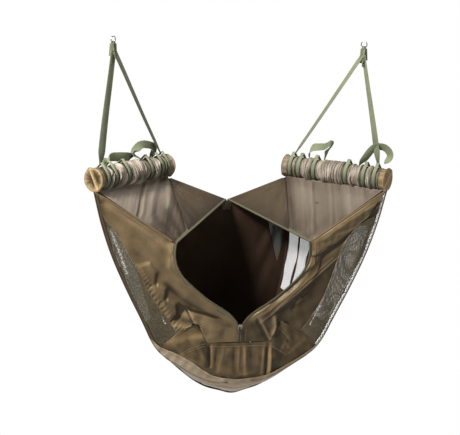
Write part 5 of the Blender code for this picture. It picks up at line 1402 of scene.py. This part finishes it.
def add_rear():
    """The rear wall with its net windows."""
    columns = [rear_column(share) for share in (0.0, 0.080, 0.25, 0.42, 0.56, 0.68, 0.80, 0.91, 1.0)]
    half = np.array(columns).transpose(1, 0, 2)
    rows = trim(np.concatenate([flip(half[:, :0:-1], -1), half], axis=1), first=0.0028)
    tall, wide = 9 * FINE, 5 * FINE
    grid = upsample(rows, tall, wide)
    skip = no_gaps(grid)
    windows = {"left": (wide, 4 * wide), "right": (12 * wide, 15 * wide)}
    for first, last in windows.values():
        skip[2 * tall:5 * tall, first:last] = True
    slot_half = int(0.6 * wide)
    skip[:int(0.9 * tall), 8 * wide - slot_half:8 * wide + slot_half] = True
    u, v = shares(grid)
    x, y = u * 0.38, v * 0.50
    lift = rumple(x, y, 0.12, 91) * 0.0020 + rumple(x, y * 0.4, 0.04, 92) * 0.0008
    lift = lift * calm_edges(u, v, 0.06, 0.06, 0.30, 0.04)
    by_zip = 1 - smoothstep(np.abs(grid[..., 0]), 0.012, 0.030)
    lift = lift + 0.0016 * by_zip * (1 - smoothstep(v, 0.08, 0.16))
    panel("rear_cloth", grid, lift, ("rear_panel",), tone=0.40, depth_tone=55.0, skip=skip)
    for name, columns in windows.items():
        window = ((2 * tall, 5 * tall), columns)
        net(f"{name}_rear_net", cells(grid, *window), cells(lift, *window) - 0.0002, "net_dark",
            (f"{name}_rear_mesh",))


def fine_mouth(line):
    """A line along the mouth made finer, with sharp turns at its stops and at the corner."""
    return np.concatenate([finer(line[:2], 4)[:-1], finer(line[1:CORNER + 1], 6)[:-1],
                           finer(line[CORNER:-1], 6)[:-1], finer(line[-2:], 4)])


def add_zip(name):
    """Half of the zip: its tape, the piping and the spiral teeth of the open edge."""
    side = SIDES[name]
    open_part = slice(6, -6)
    inner, outer = fine_mouth(ZIP_LINE), fine_mouth(TAPE_EDGE)
    across = np.linspace(0, 1, 7)
    grid = flip(loft(inner, outer, 6), side)
    # Painted shade: the tape darker toward its outer edge, which sinks under the hem
    panel(f"{name}_zip_tape_cloth", grid, 0.0005 - 0.0012 * across, (f"{name}_zip_tape",), "tape", None,
          "zip_tape", 0.75 - 0.4 * across, 0.0, 0.0010)
    edge = flip(inner[open_part], side)
    tube(f"{name}_mouth_piping", edge + normals(grid)[open_part, 0] * 0.0008, 0.0016, "tape")
    line = even(edge, 450 * FINE)
    ahead = unit(np.gradient(line, axis=0))
    to_middle = np.array((-side, 0, 0))
    inward = unit(to_middle - ahead * (ahead @ to_middle)[:, None])
    spin = (np.arange(len(line)) * (math.pi / 2))[:, None]
    helix = line + inward * (0.0017 + 0.0012 * np.cos(spin))
    helix = helix + np.cross(ahead, inward) * (0.0012 * np.sin(spin))
    tube(f"{name}_zip_spiral", helix, 0.00042, "teeth", 4, nodes=(f"{name}_zip_coil",))


# Closed teeth

def block(verts, faces, centre, sizes):
    """Adds a small block to lists of vertices and faces."""
    base = len(verts)
    for dx in (-0.5, 0.5):
        for dy in (-0.5, 0.5):
            for dz in (-0.5, 0.5):
                verts.append([c + d * s for c, d, s in zip(centre, (dx, dy, dz), sizes)])
    for f in ((0, 1, 3, 2), (4, 6, 7, 5), (0, 4, 5, 1), (2, 3, 7, 6), (0, 2, 6, 4), (1, 5, 7, 3)):
        faces.append(tuple(base + k for k in f))


def add_closed_teeth():
    """The interlocked teeth between each slider and its stop, and the stops."""
    verts, faces = [], []
    tooth, stop = (0.0046, 0.0026, 0.0011), (0.0026, 0.0034, 0.0030)
    for side in (-1, 1):
        half = TOOTH_PITCH / 2 if side > 0 else 0.0
        for step in range(1, int((CLOSED - 0.004) / TOOTH_PITCH)):
            y, z = wall(0, (FRONT_SLIDER + TOOTH_PITCH * step + half) / FRONT_DEPTH)[1:]
            block(verts, faces, (side * 0.0015, y + 0.0006, z), tooth)
        for step in (1, 2, 3):
            y, z = rear_wall(0.0, REAR_SLIDER + 0.0125 + TOOTH_PITCH * step + half)[1:]
            block(verts, faces, (side * 0.0015, y - 0.0006, z), tooth)
        y, z = wall(0, (FRONT_SLIDER + CLOSED - 0.003) / FRONT_DEPTH)[1:]
        block(verts, faces, (side * 0.0028, y - 0.0002, z), stop)
    obj = make("closed_zip_teeth", verts, faces, "teeth")
    bevel = obj.modifiers.new("edges", "BEVEL")
    bevel.width = 0.0003
    bevel.segments = 2


# Solids that stay in sight

def refinish(node, material):
    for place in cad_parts[node].material_slots:
        place.link = "OBJECT"
        place.material = MAT[material]


def refinish_solids():
    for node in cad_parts:
        if "slider" in node or "pull" in node:
            refinish(node, "worn" if "rear" in node or "pull" in node else "plated")
        elif "ring" in node:
            refinish(node, "steel")
        elif "eyelet" in node:
            refinish(node, "eyelet")
        elif "core" in node:
            refinish(node, "sleeve")


# Studio

def seen_directly(tree):
    path = add_node(tree, "ShaderNodeLightPath")
    return maths(tree, "MAXIMUM", path.outputs["Is Camera Ray"], path.outputs["Is Transmission Ray"])


def mix_shader(tree, factor, a, b):
    return add_node(tree, "ShaderNodeMixShader", {"Fac": factor, 1: a, 2: b}).outputs["Shader"]


def white_floor():
    """A pale floor that fades into the white background away from the sling."""
    m, t, s = new_material("studio_floor")
    wire(t, s, {"Base Color": (0.86, 0.86, 0.86), "Roughness": 0.9})
    glow = add_node(t, "ShaderNodeEmission", {"Color": (1, 1, 1)}).outputs["Emission"]
    reach = add_node(t, "ShaderNodeVectorMath", {0: place_on(t)}, operation="LENGTH").outputs["Value"]
    fade = maths(t, "MULTIPLY", seen_directly(t), ramp(t, reach, 0.7, 1.8))
    above = mix_shader(t, fade, s.outputs["BSDF"], glow)
    below = add_node(t, "ShaderNodeBsdfTransparent").outputs["BSDF"]
    from_below = add_node(t, "ShaderNodeNewGeometry").outputs["Backfacing"]
    wire(t, t.nodes["Material Output"], {"Surface": mix_shader(t, from_below, above, below)})
    return m


def white_world():
    """A soft even light, with a background that the eye sees as white."""
    world = bpy.data.worlds.new("studio")
    bpy.context.scene.world = world
    world.use_nodes = True
    t = world.node_tree
    light = t.nodes["Background"]
    wire(t, light, {"Color": (1, 1, 1), "Strength": 0.17})
    white = add_node(t, "ShaderNodeBackground", {"Color": (1, 1, 1), "Strength": 1.0})
    mixed = mix_shader(t, seen_directly(t), light.outputs["Background"], white.outputs["Background"])
    wire(t, t.nodes["World Output"], {"Surface": mixed})


def softbox(name, place, size, power):
    lamp = bpy.data.lights.new(name, "AREA")
    lamp.energy = power
    lamp.size = size
    obj = bpy.data.objects.new(name, lamp)
    obj.location = place
    obj.rotation_euler = (Vector((0, 0, -0.45)) - Vector(place)).to_track_quat("-Z", "Y").to_euler()
    bpy.context.scene.collection.objects.link(obj)


def studio():
    bpy.ops.mesh.primitive_plane_add(size=30, location=(0, 0, cad_box[0][2] - 0.9))
    floor = bpy.context.object
    floor.name = "studio_floor"
    floor.data.materials.append(white_floor())
    white_world()
    softbox("key_softbox", (-2.1, -1.3, 1.5), 0.5, 165.0)
    softbox("top_softbox", (0.6, 0.2, 2.3), 1.0, 30.0)
    softbox("fill_softbox", (2.2, -2.2, 0.1), 1.4, 16.0)
    bpy.context.scene.view_settings.view_transform = "Standard"


def camera():
    """The photograph's point of view, on the sling's middle from 4 m away."""
    azimuth, elevation, roll = math.radians(-13.2), math.radians(12.4), math.radians(2.45)
    distance, sensor, picture = 4.0, 36, 460
    level, rise = math.cos(elevation), math.sin(elevation)
    ahead = Vector((-math.sin(azimuth) * level, math.cos(azimuth) * level, -rise))
    right = Vector((math.cos(azimuth), math.sin(azimuth), 0))
    up = right.cross(ahead)
    rolled_right = right * math.cos(roll) + up * math.sin(roll)
    rolled_up = -right * math.sin(roll) + up * math.cos(roll)
    target = Vector((0, 0.100, -0.130)) + Vector(OFFSET)
    data = bpy.data.cameras.new("camera")
    data.sensor_width = sensor
    data.lens = sensor * distance * 0.35 / 0.460
    data.shift_x = -4.4 / picture
    data.shift_y = 0.3 / picture
    obj = bpy.data.objects.new("camera", data)
    basis = Matrix((rolled_right, rolled_up, -ahead)).transposed()
    obj.matrix_world = Matrix.Translation(target - ahead * distance) @ basis.to_4x4()
    bpy.context.scene.collection.objects.link(obj)
    bpy.context.scene.camera = obj


# The sling

for half_name in SIDES:
    add_sleeve(half_name)
    add_cap(half_name, 1)
    add_cap(half_name, -1)
    add_strap(half_name)
    add_handle(half_name, "front")
    add_handle(half_name, "rear")
add_lower()
add_lower_rim()
add_base()
add_rear()
for half_name in SIDES:
    add_cover(half_name)
    add_wing(half_name)
    add_front(half_name)
    add_sides(half_name)
    add_zip(half_name)
add_seam_stitches()
add_closed_teeth()
refinish_solids()
studio()
camera()
